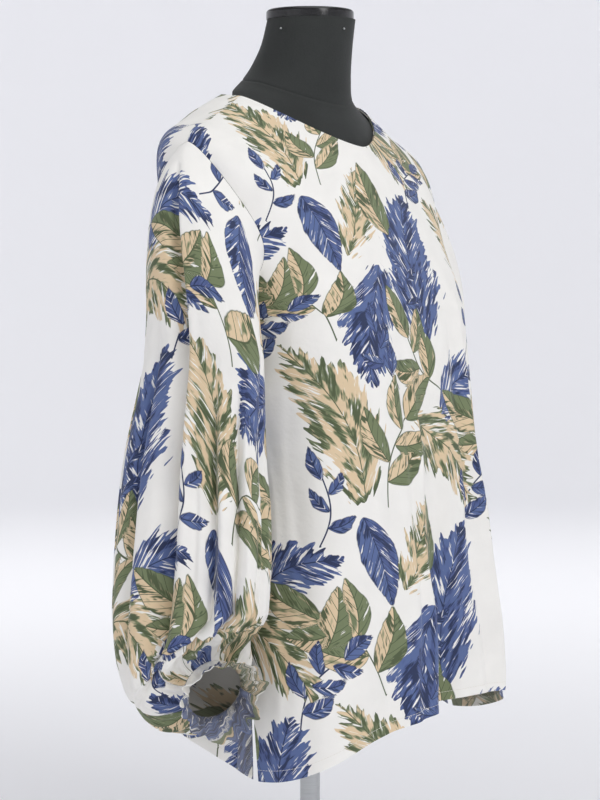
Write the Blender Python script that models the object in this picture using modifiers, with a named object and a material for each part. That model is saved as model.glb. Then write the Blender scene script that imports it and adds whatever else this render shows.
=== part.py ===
"""A long-sleeved trapeze blouse on a limbless dress form, piece by piece as it is cut and sewn.

The origin is on the floor under the middle of the stand. The blouse faces -Y, the wearer's left is +X
and up is +Z. The tables are in millimetres, and the meshes in metres.

Every cloth piece is a wall on a surface worked out from rings. A ring goes all round the body, and its
height may differ at the side, the front and the back, as it does at a neckline or a curved hem.
"""
import math
from collections import namedtuple

import bmesh
import bpy
import numpy as np

MM = 0.001
QUARTER = math.pi / 2
OBJECT_NAME = "blouse_on_dress_form"

CLOTH_WALL = 1.5
FACING_WALL = 1.0
SEAM_GAP = 0.3
SLEEVE_SEAM_GAP = 0.4

# Rings of the body, from the neckline to the hem. The squareness is a superellipse's power, and the lift
# says how quickly the height changes from the side to the front and the back.
Ring = namedtuple("Ring", "half_width side_y front_y back_y side_z front_z back_z "
                          "front_square back_square front_lift back_lift")
NECKLINE = 0
SHOULDER_POINT = 2
UNDERARM = 4
HEM = 8
BODY_RINGS = [
    Ring(125, 15, -79, 80, 1030, 971, 1037, 1.5, 2.6, 1.3, 1.0),
    Ring(178, 17, -95, 106, 1001, 936, 1008, 1.8, 2.7, 1.3, 1.0),
    Ring(226, 17, -110, 122, 971, 896, 961, 2.05, 2.7, 1.3, 1.0),
    Ring(204, 10, -136, 138, 866, 835, 868, 2.5, 2.6, 1.2, 1.0),
    Ring(192, 5, -156, 134, 760, 770, 770, 3.0, 2.7, 1.0, 1.0),
    Ring(186, -14, -175, 138, 640, 655, 655, 3.1, 2.7, 1.0, 1.0),
    Ring(194, -36, -193, 150, 500, 532, 535, 3.1, 2.6, 1.5, 0.9),
    Ring(206, -58, -207, 166, 355, 400, 415, 3.0, 2.6, 2.2, 0.8),
    Ring(217, -74, -217, 180, 235, 298, 325, 2.8, 2.6, 2.3, 0.95),
]

# The armhole reaches in from the side by these angles, and its curve is this blunt.
ARMHOLE_FRONT = math.radians(29)
ARMHOLE_BACK = math.radians(27)
ARMHOLE_BLUNTNESS = 0.6

# The hem hangs lower on the wearer's right than on the left.
HEM_TILT = 13
SLIT_HEIGHT = 100
SLIT_SPREAD = 4

# The bust rounds the front out a little on each side of the middle.
BUST_TURN = math.radians(33)
BUST_WIDTH = math.radians(16)
BUST_LEVEL = 4.0
BUST_SPAN = 1.1
BUST_FULLNESS = 7

# Folds that fall from the bust and the shoulder blades. Each widens from a level to the hem.
Fold = namedtuple("Fold", "top_turn hem_turn start_level width depth")
BODY_FOLDS = [
    Fold(-50, -54, 5.0, 10, 6),
    Fold(-38, -39, 5.0, 10, -7),
    Fold(-20, -25, 4.4, 10, 6),
    Fold(-10, -18, 4.6, 9, 15),
    Fold(0, -2, 4.4, 10, -36),
    Fold(27, 26, 4.1, 10, 12),
    Fold(42, 42, 4.8, 10, -9),
    Fold(56, 58, 5.0, 10, 6),
    Fold(118, 116, 5.0, 10, 7),
    Fold(132, 131, 4.6, 10, -13),
    Fold(147, 147, 4.4, 10, 12),
    Fold(163, 163, 4.4, 10, -16),
    Fold(178, 179, 4.4, 10, 12),
    Fold(-166, -164, 4.4, 10, -15),
    Fold(-151, -148, 4.4, 10, 12),
    Fold(-136, -132, 4.6, 10, -13),
    Fold(-120, -117, 5.0, 10, 7),
]

# Rings of the right sleeve below the underarm, each level. The across half is the wearer's side to side.
SleeveRing = namedtuple("SleeveRing", "height centre_x centre_y half_across half_deep")
SLEEVE_RINGS = [
    SleeveRing(703, -249, -21, 48, 83),
    SleeveRing(646, -254, -17, 51, 91),
    SleeveRing(595, -259, -15, 54, 98),
    SleeveRing(546, -265, -18, 58, 104),
    SleeveRing(490, -272, -21, 61, 107),
    SleeveRing(432, -278, -22, 63, 106),
]
SLEEVE_CAP_PULL = 0.92

# The left sleeve swings back and a little out below the shoulder, by this much at its low end.
LEFT_SWING = 58
LEFT_OUT = 8
LEFT_SWING_TOP = 950
LEFT_SWING_LOW = 560

# Folds down the sleeve: the turn is 0 at the outer side, 90 at the front and 180 at the body.
SleeveFold = namedtuple("SleeveFold", "top_turn low_turn start end width depth")
SLEEVE_FOLDS = [
    SleeveFold(2, 3, 0.1, 2.7, 13, -8),
    SleeveFold(-22, -28, 0.6, 2.6, 13, -6),
    SleeveFold(32, 36, 1.0, 2.8, 13, -6),
    SleeveFold(66, 60, 1.1, 2.8, 13, -5),
    SleeveFold(98, 94, 0.9, 2.6, 14, -6),
    SleeveFold(140, 138, 1.2, 2.7, 14, -6),
    SleeveFold(196, 198, 1.2, 2.7, 14, -5),
    SleeveFold(250, 246, 0.8, 2.7, 14, -8),
    SleeveFold(292, 298, 0.9, 2.7, 14, -6),
]

# The elastic cuff is a ring whose mouth looks forwards, outwards and a little down.
CUFF_CENTRE = (-270, -51, 336)
CUFF_AXIS = (-0.46, -0.84, -0.28)
CUFF_RADIUS = 36
CASING_DEPTH = 12
RUFFLE_DEPTH = 22
RUFFLE_FLARE = 14
RUFFLE_WAVES = 11
RUFFLE_WAVE_HEIGHT = 4.5
POUCH_DROP_REAR = 372
POUCH_DROP_FRONT = 70
POUCH_TUCK_REAR = 240
POUCH_TUCK_FRONT = 60
GATHERS = 10
GATHER_HEIGHT = 2.5

# Rings of the dress form, from its neck down to the underside inside the blouse.
FORM_RINGS = [
    Ring(54.5, -2, -57, 53, 1130, 1130, 1130, 2.0, 2.0, 1.0, 1.0),
    Ring(56.5, 5, -52, 62, 1098, 1094, 1100, 2.0, 2.0, 1.0, 1.0),
    Ring(64, 15, -48, 73, 1070, 1056, 1076, 2.0, 2.0, 1.0, 1.0),
    Ring(80, 22, -47, 80, 1050, 1024, 1058, 1.9, 2.0, 1.2, 1.0),
    Ring(101, 20, -62, 82, 1037, 994, 1044, 1.7, 2.1, 1.3, 1.0),
    Ring(121, 15, -76, 73, 1025, 965, 1029, 1.6, 2.4, 1.3, 1.0),
    Ring(175, 17, -91, 104, 1000.3, 930, 1004.5, 1.8, 2.7, 1.3, 1.0),
    Ring(206, 17, -103, 117, 975, 890, 954, 2.0, 2.6, 1.3, 1.0),
    Ring(203, 10, -124, 127, 925, 845, 890, 2.2, 2.5, 1.2, 1.0),
    Ring(178, 5, -141, 124, 830, 775, 800, 2.3, 2.4, 1.0, 1.0),
    Ring(166, 0, -134, 112, 720, 690, 700, 2.2, 2.2, 1.0, 1.0),
    Ring(156, 0, -120, 106, 630, 625, 625, 2.1, 2.1, 1.0, 1.0),
    Ring(168, 0, -126, 120, 550, 550, 550, 2.1, 2.1, 1.0, 1.0),
    Ring(170, 0, -126, 122, 500, 500, 500, 2.1, 2.1, 1.0, 1.0),
    Ring(160, 0, -118, 114, 482, 482, 482, 2.1, 2.1, 1.0, 1.0),
]

CAP_RADIUS = 54.5
CAP_HEIGHT = 12
CAP_ROUND = 4
POLE_RADIUS = 12.5
BASE_RADIUS = 150
BASE_HEIGHT = 12
BASE_ROUND = 3
SOCKET_RADIUS = 20
SOCKET_HEIGHT = 30
SOCKET_ROUND = 2

# How finely the pieces are divided.
SHOULDER_LEVELS = [0, 0.25, 0.6, 1.05, 1.5]
ARMHOLE_STEPS = 10
LOWER_LEVELS = [4.4, 4.9, 5.5, 6.1, 6.7, 7.2, 7.6]
FACING_LEVEL = 0.25
PANEL_COLUMNS = 30
CAP_ROWS = 5
TUBE_ROWS = 5
POUCH_ROWS = 7
CUFF_STEPS_PER_WAVE = 4
FORM_COLUMNS = 28
ROUND_STEPS = 32


def between(table, place):
    """The columns of a table at places between its rows, on a smooth curve through them."""
    rows = np.array(table, dtype=float)
    place = np.asarray(place, dtype=float)
    low = np.clip(place.astype(int), 0, len(rows) - 2)
    part = (place - low)[..., None]
    before = rows[np.maximum(low - 1, 0)]
    start = rows[low]
    stop = rows[low + 1]
    after = rows[np.minimum(low + 2, len(rows) - 1)]
    cubic = 3 * (start - stop) + after - before
    square = 2 * before - 5 * start + 4 * stop - after
    value = start + 0.5 * part * (stop - before + part * (square + part * cubic))
    return [value[..., column] for column in range(rows.shape[1])]


def unit(vectors):
    """The same vectors, each one long."""
    return vectors / np.maximum(np.linalg.norm(vectors, axis=-1, keepdims=True), 1e-12)


def ring_point(table, turn, level):
    """A point on the rings of a table. The turn is 0 at the front and a quarter at the left side."""
    ring = Ring(*between(table, level))
    forward = np.cos(turn)
    sideways = np.sin(turn)
    in_front = forward >= 0
    square = np.where(in_front, ring.front_square, ring.back_square)
    size = (np.abs(forward) ** square + np.abs(sideways) ** square) ** (1 / square)
    reach = np.abs(forward) / size
    x = ring.half_width * sideways / size
    y = ring.side_y + reach * (np.where(in_front, ring.front_y, ring.back_y) - ring.side_y)
    end_z = np.where(in_front, ring.front_z, ring.back_z)
    lift = np.where(in_front, ring.front_lift, ring.back_lift)
    z = ring.side_z + reach ** lift * (end_z - ring.side_z)
    return np.stack([x, y, z], axis=-1)


def normals(surface, turn, level, step=0.01):
    """Outward normals of a surface whose turn runs anticlockwise, seen from above, and whose level goes down."""
    aside = surface(turn + step, level) - surface(turn - step, level)
    down = surface(turn, level + step) - surface(turn, level - step)
    return unit(np.cross(down, aside))


def smooth_bump(distance, width):
    """One at no distance, falling off smoothly over the width."""
    return np.exp(-(distance / width) ** 2)


def turn_between(turn, other):
    """The difference of two turns, the short way round."""
    return (turn - other + math.pi) % (2 * math.pi) - math.pi


def body_base(turn, level):
    """The body of the blouse before its folds, with the hem hanging lower on the right."""
    points = ring_point(BODY_RINGS, turn, level)
    hang = np.clip(np.asarray(level, dtype=float) / HEM, 0, 1) ** 4
    widest = BODY_RINGS[HEM].half_width
    points[..., 2] += HEM_TILT * hang * points[..., 0] / widest
    return points


def body_relief(turn, level):
    """How far the bust and the folds lift the cloth off the plain rings."""
    level = np.asarray(level, dtype=float)
    bust = smooth_bump(np.abs(turn) - BUST_TURN, BUST_WIDTH) * smooth_bump(level - BUST_LEVEL, BUST_SPAN)
    relief = BUST_FULLNESS * bust
    for fold in BODY_FOLDS:
        grown = np.clip((level - fold.start_level) / (HEM - fold.start_level), 0, 1)
        middle = np.radians(fold.top_turn + (fold.hem_turn - fold.top_turn) * grown)
        away = turn_between(turn, middle)
        relief = relief + fold.depth * grown ** 1.2 * smooth_bump(away, math.radians(fold.width))
    return relief


def body_surface(turn, level):
    """The outer face of the body, with the bust and the folds."""
    turn, level = np.broadcast_arrays(turn, level)
    points = body_base(turn, level)
    return points + normals(body_base, turn, level) * body_relief(turn, level)[..., None]


def armhole_edge(level, reach):
    """How far round a panel goes at a level: the side seam, less the curve of the armhole."""
    part = np.clip((level - SHOULDER_POINT) / (UNDERARM - SHOULDER_POINT), 0, 1)
    return QUARTER - reach * np.sin(math.pi * part) ** ARMHOLE_BLUNTNESS


def armhole_levels():
    """The levels of the armhole seam's points, evenly round its curve."""
    spread = (UNDERARM - SHOULDER_POINT) / 2
    return [SHOULDER_POINT + spread * (1 - math.cos(math.pi * step / ARMHOLE_STEPS))
            for step in range(ARMHOLE_STEPS + 1)]


def panel_levels():
    """The levels of a panel's rows, from the neckline to the hem."""
    return np.array(SHOULDER_LEVELS + armhole_levels() + LOWER_LEVELS + [HEM])


def pull_in(points, row, inner_row, distance):
    """Move an edge row towards the row inside it."""
    points[row] += unit(points[inner_row] - points[row]) * distance


def panel_grid(middle_turn, reach):
    """The outer points and normals of the front, whose middle is at 0, or the back, at a half turn."""
    levels = panel_levels()[:, None]
    across = np.linspace(-1, 1, PANEL_COLUMNS)[None, :]
    turn = middle_turn + across * armhole_edge(levels, reach)
    turn, levels = np.broadcast_arrays(turn, levels)
    outer = body_surface(turn, levels)
    outward = normals(body_surface, turn, levels)
    columns = outer.swapaxes(0, 1)
    height = outer[:, 0, 2] - outer[-1, 0, 2]
    open_part = np.clip(1 - height / SLIT_HEIGHT, 0, 1)[:, None]
    pull_in(columns, 0, 1, SEAM_GAP / 2 + SLIT_SPREAD * open_part)
    pull_in(columns, -1, -2, SEAM_GAP / 2 + SLIT_SPREAD * open_part)
    return outer, outward


def mesh_object(name, vertices, faces, material):
    """An object from points in millimetres, with its faces pointing out."""
    mesh = bpy.data.meshes.new(name)
    mesh.from_pydata((np.asarray(vertices) * MM).tolist(), [], faces)
    shape = bmesh.new()
    shape.from_mesh(mesh)
    bmesh.ops.recalc_face_normals(shape, faces=shape.faces)
    shape.to_mesh(mesh)
    shape.free()
    mesh.shade_smooth()
    mesh.set_sharp_from_angle(angle=math.radians(50))
    mesh.materials.append(material)
    made = bpy.data.objects.new(name, mesh)
    PART.objects.link(made)
    return made


def strip_faces(first, second, closed):
    """Two triangles for each step between two rows of points, given by their numbers."""
    count = len(first) if closed else len(first) - 1
    faces = []
    for step in range(count):
        after = (step + 1) % len(first)
        faces.append((first[step], first[after], second[after]))
        faces.append((first[step], second[after], second[step]))
    return faces


def wall_object(name, outer, inner, closed, material):
    """A wall between an outer and an inner grid of points, closed round a tube or open at its sides."""
    rows, columns = outer.shape[:2]
    front = np.arange(rows * columns).reshape(rows, columns)
    rear = front + rows * columns
    faces = []
    for row in range(rows - 1):
        faces += strip_faces(front[row], front[row + 1], closed)
        faces += [face[::-1] for face in strip_faces(rear[row], rear[row + 1], closed)]
    faces += strip_faces(rear[0], front[0], closed)
    faces += strip_faces(front[-1], rear[-1], closed)
    if not closed:
        faces += strip_faces(front[:, 0], rear[:, 0], False)
        faces += strip_faces(rear[:, -1], front[:, -1], False)
    vertices = np.concatenate([outer.reshape(-1, 3), inner.reshape(-1, 3)])
    return mesh_object(name, vertices, [tuple(int(number) for number in face) for face in faces], material)


def make_panels(material):
    """The front and the back, 0.3 mm apart at the shoulders and sides."""
    for name, middle, reach in (("front", 0, ARMHOLE_FRONT), ("back", math.pi, ARMHOLE_BACK)):
        outer, outward = panel_grid(middle, reach)
        wall_object(name, outer, outer - outward * CLOTH_WALL, False, material)


def make_neck_facing(material):
    """A strip turned inside the neckline, just clear of the panels' inner faces."""
    half = np.linspace(-1, 1, PANEL_COLUMNS) * QUARTER
    turn = np.concatenate([half, math.pi + half[1:-1]])[None, :]
    levels = np.array([NECKLINE, FACING_LEVEL])[:, None]
    turn, levels = np.broadcast_arrays(turn, levels)
    outward = normals(body_surface, turn, levels)
    outer = body_surface(turn, levels) - outward * (CLOTH_WALL + SEAM_GAP)
    wall_object("neck_facing", outer, outer - outward * FACING_WALL, True, material)


def armhole_ring():
    """The right armhole seam all round, from the shoulder point down the front and up the back."""
    levels = np.array(armhole_levels())
    front_turn = -armhole_edge(levels, ARMHOLE_FRONT)
    back_turn = -math.pi + armhole_edge(levels, ARMHOLE_BACK)
    turn = np.concatenate([front_turn, back_turn[-2:0:-1]])
    level = np.concatenate([levels, levels[-2:0:-1]])
    points = body_surface(turn, level)
    outward = normals(body_surface, turn, level)
    return double(points), unit(double(outward))


def double(ring):
    """A closed ring with a point added halfway along each of its sides."""
    halfway = (ring + np.roll(ring, -1, axis=0)) / 2
    return np.stack([ring, halfway], axis=1).reshape(-1, 3)


def hermite(start, stop, leave, arrive, part):
    """A smooth path from start to stop with the given directions at its ends."""
    square = part * part
    cube = square * part
    return (start * (2 * cube - 3 * square + 1) + leave * (cube - 2 * square + part)
            + stop * (3 * square - 2 * cube) + arrive * (cube - square))


def sleeve_ring_point(turn, place):
    """A point on the sleeve's plain rings. The place counts the rows of their table."""
    ring = SleeveRing(*between(SLEEVE_RINGS, place))
    x = ring.centre_x - ring.half_across * np.cos(turn)
    y = ring.centre_y - ring.half_deep * np.sin(turn)
    return np.stack([x, y, np.broadcast_to(ring.height, x.shape)], axis=-1)


def cuff_axes():
    """The cuff's axis out of its mouth, and its outward and upward directions."""
    axis = unit(np.array(CUFF_AXIS))
    upward = unit(np.array([0, 0, 1.0]) - axis * axis[2])
    return axis, np.cross(axis, upward), upward


def cuff_circle(turn, radius, forward):
    """Points round the cuff's axis, a distance forward of the casing's start."""
    axis, aside, upward = cuff_axes()
    spoke = aside * np.cos(turn)[..., None] + upward * np.sin(turn)[..., None]
    centre = np.array(CUFF_CENTRE) + axis * np.asarray(forward)[..., None]
    return centre + spoke * np.asarray(radius)[..., None], spoke


class Sleeve:
    """The right sleeve's outer face, from the armhole through the tube to the gathered wrist."""

    def __init__(self):
        self.seam, self.seam_normals = armhole_ring()
        self.count = len(self.seam)
        self.turns = np.arange(self.count) * 2 * math.pi / self.count

    def seam_at(self, turn):
        """The seam and its normals at any turn, straight between their points."""
        place = (turn / (2 * math.pi) * self.count) % self.count
        low = np.floor(place).astype(int) % self.count
        part = (place - np.floor(place))[..., None]
        high = (low + 1) % self.count
        seam = self.seam[low] * (1 - part) + self.seam[high] * part
        outward = self.seam_normals[low] * (1 - part) + self.seam_normals[high] * part
        return seam, unit(outward)

    def cap(self, turn, part):
        """The sleeve's head, from the armhole down to the first ring."""
        seam, outward = self.seam_at(turn)
        under = ((1 - np.cos(turn)) / 2)[..., None]
        top = 1 - under
        aside = np.array([-0.6, 0, 0]) * (1 - under ** 2)
        down = np.array([0, 0, -0.5]) - np.array([0, 0, 0.45]) * under ** 2
        leave = unit(outward * 0.5 * under ** 0.5 + aside + down)
        start = seam + unit(leave * top + outward * (1 - top)) * SLEEVE_SEAM_GAP
        stop = sleeve_ring_point(turn, 0)
        below = sleeve_ring_point(turn, 0.5)
        far = np.linalg.norm(stop - start, axis=-1, keepdims=True) * SLEEVE_CAP_PULL
        return hermite(start, stop, leave * far, unit(below - stop) * far, part[..., None])

    def pouch(self, turn, part):
        """The full lower end, which sags behind and below the gathered wrist."""
        last = len(SLEEVE_RINGS) - 1
        start = sleeve_ring_point(turn, last)
        above = sleeve_ring_point(turn, last - 0.5)
        stop, spoke = cuff_circle(turn, CUFF_RADIUS + SLEEVE_SEAM_GAP + 0 * turn, 0 * turn)
        axis = cuff_axes()[0]
        rear = ((1 - np.sin(turn)) / 2)[..., None]
        drop = POUCH_DROP_FRONT + (POUCH_DROP_REAR - POUCH_DROP_FRONT) * rear
        tuck = POUCH_TUCK_FRONT + (POUCH_TUCK_REAR - POUCH_TUCK_FRONT) * rear
        arrive = unit(axis * 0.35 - spoke * 0.94) * tuck
        return hermite(start, stop, unit(start - above) * drop, arrive, part[..., None])

    def base(self, turn, along):
        """The plain sleeve: 0 to 1 is the head, 1 to 2 the tube and 2 to 3 the pouch."""
        turn, along = np.broadcast_arrays(np.asarray(turn, dtype=float), np.asarray(along, dtype=float))
        tube = sleeve_ring_point(turn, (along - 1) * (len(SLEEVE_RINGS) - 1))
        head = self.cap(turn, np.minimum(along, 1))
        pouch = self.pouch(turn, np.clip(along - 2, 0, 1.02))
        along = along[..., None]
        return np.where(along < 1, head, np.where(along <= 2, tube, pouch))

    def relief(self, turn, along):
        """How far the folds and the gathers at the wrist move the cloth."""
        relief = 0 * turn
        for fold in SLEEVE_FOLDS:
            part = np.clip((along - fold.start) / (fold.end - fold.start), 0, 1)
            middle = np.radians(fold.top_turn + (fold.low_turn - fold.top_turn) * part)
            away = turn_between(turn, middle)
            strength = np.sin(math.pi * part) ** 0.7
            relief = relief + fold.depth * strength * smooth_bump(away, math.radians(fold.width))
        near_wrist = np.clip(along - 2.2, 0, 0.8) / 0.8
        gather = np.sin(GATHERS * turn) * near_wrist * (1 - near_wrist ** 6)
        return relief + GATHER_HEIGHT * gather

    def surface(self, turn, along):
        """The sleeve's outer face with its folds."""
        turn, along = np.broadcast_arrays(np.asarray(turn, dtype=float), np.asarray(along, dtype=float))
        outward = normals(self.base, turn, along)
        return self.base(turn, along) + outward * self.relief(turn, along)[..., None]


def left_side(points):
    """The mirrored points of a sleeve, which hangs further back on the left."""
    moved = points * np.array([-1, 1, 1])
    part = np.clip((LEFT_SWING_TOP - moved[..., 2]) / (LEFT_SWING_TOP - LEFT_SWING_LOW), 0, 1)
    swing = part * part * (3 - 2 * part)
    moved[..., 0] += LEFT_OUT * swing
    moved[..., 1] += LEFT_SWING * swing
    return moved


def make_sleeves(sleeve, material):
    """Both sleeves, each a closed tube that is open at the armhole and the wrist."""
    head = np.linspace(0, 1, CAP_ROWS + 1)
    tube = np.linspace(1, 2, TUBE_ROWS + 1)[1:]
    pouch = np.linspace(2, 3, POUCH_ROWS + 1)[1:]
    along = np.concatenate([head, tube, pouch])[:, None]
    turn, along = np.broadcast_arrays(sleeve.turns[None, :], along)
    outer = sleeve.surface(turn, along)
    inner = outer - normals(sleeve.surface, turn, along) * CLOTH_WALL
    wall_object("sleeve_right", outer, inner, True, material)
    wall_object("sleeve_left", left_side(outer), left_side(inner), True, material)


def make_cuffs(material):
    """The elastic casings with their crumpled ruffle headings."""
    count = RUFFLE_WAVES * CUFF_STEPS_PER_WAVE
    turn = np.arange(count) * 2 * math.pi / count
    rows = [(SEAM_GAP, 0, 0), (CASING_DEPTH, 0, 0.1), (CASING_DEPTH + RUFFLE_DEPTH / 2, 0.45, 0.6),
            (CASING_DEPTH + RUFFLE_DEPTH, 1, 1)]
    outer = []
    inner = []
    for forward, flare, wave in rows:
        ripple = np.sin(RUFFLE_WAVES * turn) * wave * RUFFLE_WAVE_HEIGHT
        radius = CUFF_RADIUS + RUFFLE_FLARE * flare + ripple
        outer.append(cuff_circle(turn, radius, forward + 0 * turn)[0])
        inner.append(cuff_circle(turn, radius - CLOTH_WALL, forward + 0 * turn)[0])
    outer = np.array(outer)
    inner = np.array(inner)
    wall_object("cuff_right", outer, inner, True, material)
    wall_object("cuff_left", left_side(outer), left_side(inner), True, material)


def make_torso(material):
    """The form's neck and limbless torso, one smooth closed body."""
    levels = np.linspace(0, len(FORM_RINGS) - 1, 2 * len(FORM_RINGS) - 1)[:, None]
    turn = (np.arange(FORM_COLUMNS) * 2 * math.pi / FORM_COLUMNS)[None, :]
    turn, levels = np.broadcast_arrays(turn, levels)
    points = ring_point(FORM_RINGS, turn, levels)
    rows, columns = points.shape[:2]
    numbers = np.arange(rows * columns).reshape(rows, columns)
    faces = []
    for row in range(rows - 1):
        faces += strip_faces(numbers[row], numbers[row + 1], True)
    faces.append(tuple(numbers[0]))
    faces.append(tuple(numbers[-1]))
    faces = [tuple(int(number) for number in face) for face in faces]
    mesh_object("form_torso", points.reshape(-1, 3), faces, material)


def make_turned(name, profile, material):
    """A solid turned round the upright axis, from its profile of radius and height, top to bottom."""
    mesh = bpy.data.meshes.new(name)
    points = [(radius * MM, 0, height * MM) for radius, height in profile]
    mesh.from_pydata(points, [(step, step + 1) for step in range(len(points) - 1)], [])
    made = bpy.data.objects.new(name, mesh)
    PART.objects.link(made)
    screw = made.modifiers.new("turn", "SCREW")
    screw.steps = ROUND_STEPS
    screw.render_steps = ROUND_STEPS
    screw.merge_threshold = 0.0001
    screw.use_merge_vertices = True
    screw.use_smooth_shade = True
    mesh.materials.append(material)
    return made


def rounded_corner(radius, height, corner, upper):
    """Three points that round a corner of a profile, at the top or at the bottom."""
    side = -1 if upper else 1
    points = []
    for step in range(3):
        angle = QUARTER * step / 2
        inward = corner * (1 - math.sin(angle))
        along = corner * (1 - math.cos(angle))
        points.append((radius - inward, height + side * along))
    return points if upper else points[::-1]


def make_stand(cap_finish, metal):
    """The neck cap, and the pole with its socket and round base."""
    cap_low = FORM_RINGS[0].side_z + SEAM_GAP
    cap_top = cap_low + CAP_HEIGHT
    cap = [(0, cap_top)] + rounded_corner(CAP_RADIUS, cap_top, CAP_ROUND, True)
    make_turned("form_neck_cap", cap + [(CAP_RADIUS, cap_low), (0, cap_low)], cap_finish)

    pole_top = FORM_RINGS[-1].side_z - SEAM_GAP
    pole_low = BASE_HEIGHT + SEAM_GAP
    collar = pole_low + SOCKET_HEIGHT
    pole = [(0, pole_top), (POLE_RADIUS, pole_top), (POLE_RADIUS, collar)]
    pole += rounded_corner(SOCKET_RADIUS, collar, SOCKET_ROUND, True)
    make_turned("form_pole", pole + [(SOCKET_RADIUS, pole_low), (0, pole_low)], metal)

    plate = [(0, BASE_HEIGHT)] + rounded_corner(BASE_RADIUS, BASE_HEIGHT, BASE_ROUND, True)
    make_turned("form_base", plate + [(BASE_RADIUS, 0), (0, 0)], metal)


def finish(name, colour, roughness, metallic=0.0):
    """A plain material with the part's colour."""
    material = bpy.data.materials.new(name)
    material.use_nodes = True
    shader = material.node_tree.nodes["Principled BSDF"]
    shader.inputs["Base Color"].default_value = (*colour, 1)
    shader.inputs["Roughness"].default_value = roughness
    shader.inputs["Metallic"].default_value = metallic
    material.diffuse_color = (*colour, 1)
    return material


for leftover in list(bpy.data.objects):
    bpy.data.objects.remove(leftover)
PART = bpy.data.collections.new(OBJECT_NAME)
bpy.context.scene.collection.children.link(PART)

PRINTED_CLOTH = finish("printed_cloth", (0.55, 0.56, 0.53), 0.75)
FORM_CLOTH = finish("form_jersey", (0.036, 0.037, 0.038), 0.9)
GLOSS_CAP = finish("gloss_cap", (0.006, 0.006, 0.007), 0.15)
STEEL = finish("brushed_steel", (0.55, 0.56, 0.57), 0.3, 1.0)

make_panels(PRINTED_CLOTH)
make_neck_facing(PRINTED_CLOTH)
make_sleeves(Sleeve(), PRINTED_CLOTH)
make_cuffs(PRINTED_CLOTH)
make_torso(FORM_CLOTH)
make_stand(GLOSS_CAP, STEEL)
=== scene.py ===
"""A leaf-printed trapeze blouse on a limbless dress form, dressed with its cloth, print and sewing.

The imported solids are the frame. Each cloth piece is worked out again from the same rings as its solid,
but finely, with soft creases, and carries its place on the flat cloth, so that the print is laid out
in millimetres as it was before the cloth was cut. Tables are in millimetres, meshes in metres.
"""

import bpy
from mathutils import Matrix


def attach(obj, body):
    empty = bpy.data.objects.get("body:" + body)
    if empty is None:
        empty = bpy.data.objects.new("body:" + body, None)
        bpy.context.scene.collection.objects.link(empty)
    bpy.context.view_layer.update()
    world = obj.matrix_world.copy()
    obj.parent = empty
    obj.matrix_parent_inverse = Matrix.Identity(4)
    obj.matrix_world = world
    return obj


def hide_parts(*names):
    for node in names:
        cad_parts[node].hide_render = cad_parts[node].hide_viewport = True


bl_info = {
    "name": "Printed blouse on a dress form",
    "version": (1, 0, 0),
    "blender": (4, 5, 0),
    "location": "3D View > Sidebar > Blouse",
    "description": "Builds the cloth, print, sewing, dress form and studio of a leaf-printed blouse",
    "category": "Object",
}

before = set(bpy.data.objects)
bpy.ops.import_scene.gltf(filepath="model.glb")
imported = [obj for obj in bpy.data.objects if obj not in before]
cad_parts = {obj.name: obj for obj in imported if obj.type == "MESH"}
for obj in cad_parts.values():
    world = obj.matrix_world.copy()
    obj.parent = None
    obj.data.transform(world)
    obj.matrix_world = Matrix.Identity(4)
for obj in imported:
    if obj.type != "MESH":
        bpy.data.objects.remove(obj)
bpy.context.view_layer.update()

import math
from collections import namedtuple

import bpy
import numpy as np
from bpy.props import FloatProperty, FloatVectorProperty, PointerProperty
from mathutils import Vector

MM = 0.001
QUARTER = math.pi / 2
PHOTO_HEIGHT = 800

# The gaps between pieces, the wall of the solids, and the cloth's thickness as it is shown.
SEAM_GAP = 0.3
SLEEVE_SEAM_GAP = 0.4
CAD_WALL = 1.5
SHELL = 0.7

# Rings of the body, from the neckline to the hem.
Ring = namedtuple("Ring", "half_width side_y front_y back_y side_z front_z back_z "
                          "front_square back_square front_lift back_lift")
NECKLINE = 0
SHOULDER_POINT = 2
UNDERARM = 4
HEM = 8
BODY_RINGS = [
    Ring(125, 15, -79, 80, 1030, 971, 1037, 1.5, 2.6, 1.3, 1.0),
    Ring(178, 17, -95, 106, 1001, 936, 1008, 1.8, 2.7, 1.3, 1.0),
    Ring(226, 17, -110, 122, 971, 896, 961, 2.05, 2.7, 1.3, 1.0),
    Ring(204, 10, -136, 138, 866, 835, 868, 2.5, 2.6, 1.2, 1.0),
    Ring(192, 5, -156, 134, 760, 770, 770, 3.0, 2.7, 1.0, 1.0),
    Ring(186, -14, -175, 138, 640, 655, 655, 3.1, 2.7, 1.0, 1.0),
    Ring(194, -36, -193, 150, 500, 532, 535, 3.1, 2.6, 1.5, 0.9),
    Ring(206, -58, -207, 166, 355, 400, 415, 3.0, 2.6, 2.2, 0.8),
    Ring(217, -74, -217, 180, 235, 298, 325, 2.8, 2.6, 2.3, 0.95),
]

# The armhole reaches in from the side by these angles, and its curve is this blunt.
ARMHOLE_FRONT = math.radians(29)
ARMHOLE_BACK = math.radians(27)
ARMHOLE_BLUNTNESS = 0.6

# The hem hangs lower on the wearer's right than on the left.
HEM_TILT = 13
SLIT_HEIGHT = 100
SLIT_SPREAD = 4

# The bust rounds the front out a little on each side of the middle.
BUST_TURN = math.radians(33)
BUST_WIDTH = math.radians(16)
BUST_LEVEL = 4.0
BUST_SPAN = 1.1
BUST_FULLNESS = 7

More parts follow.
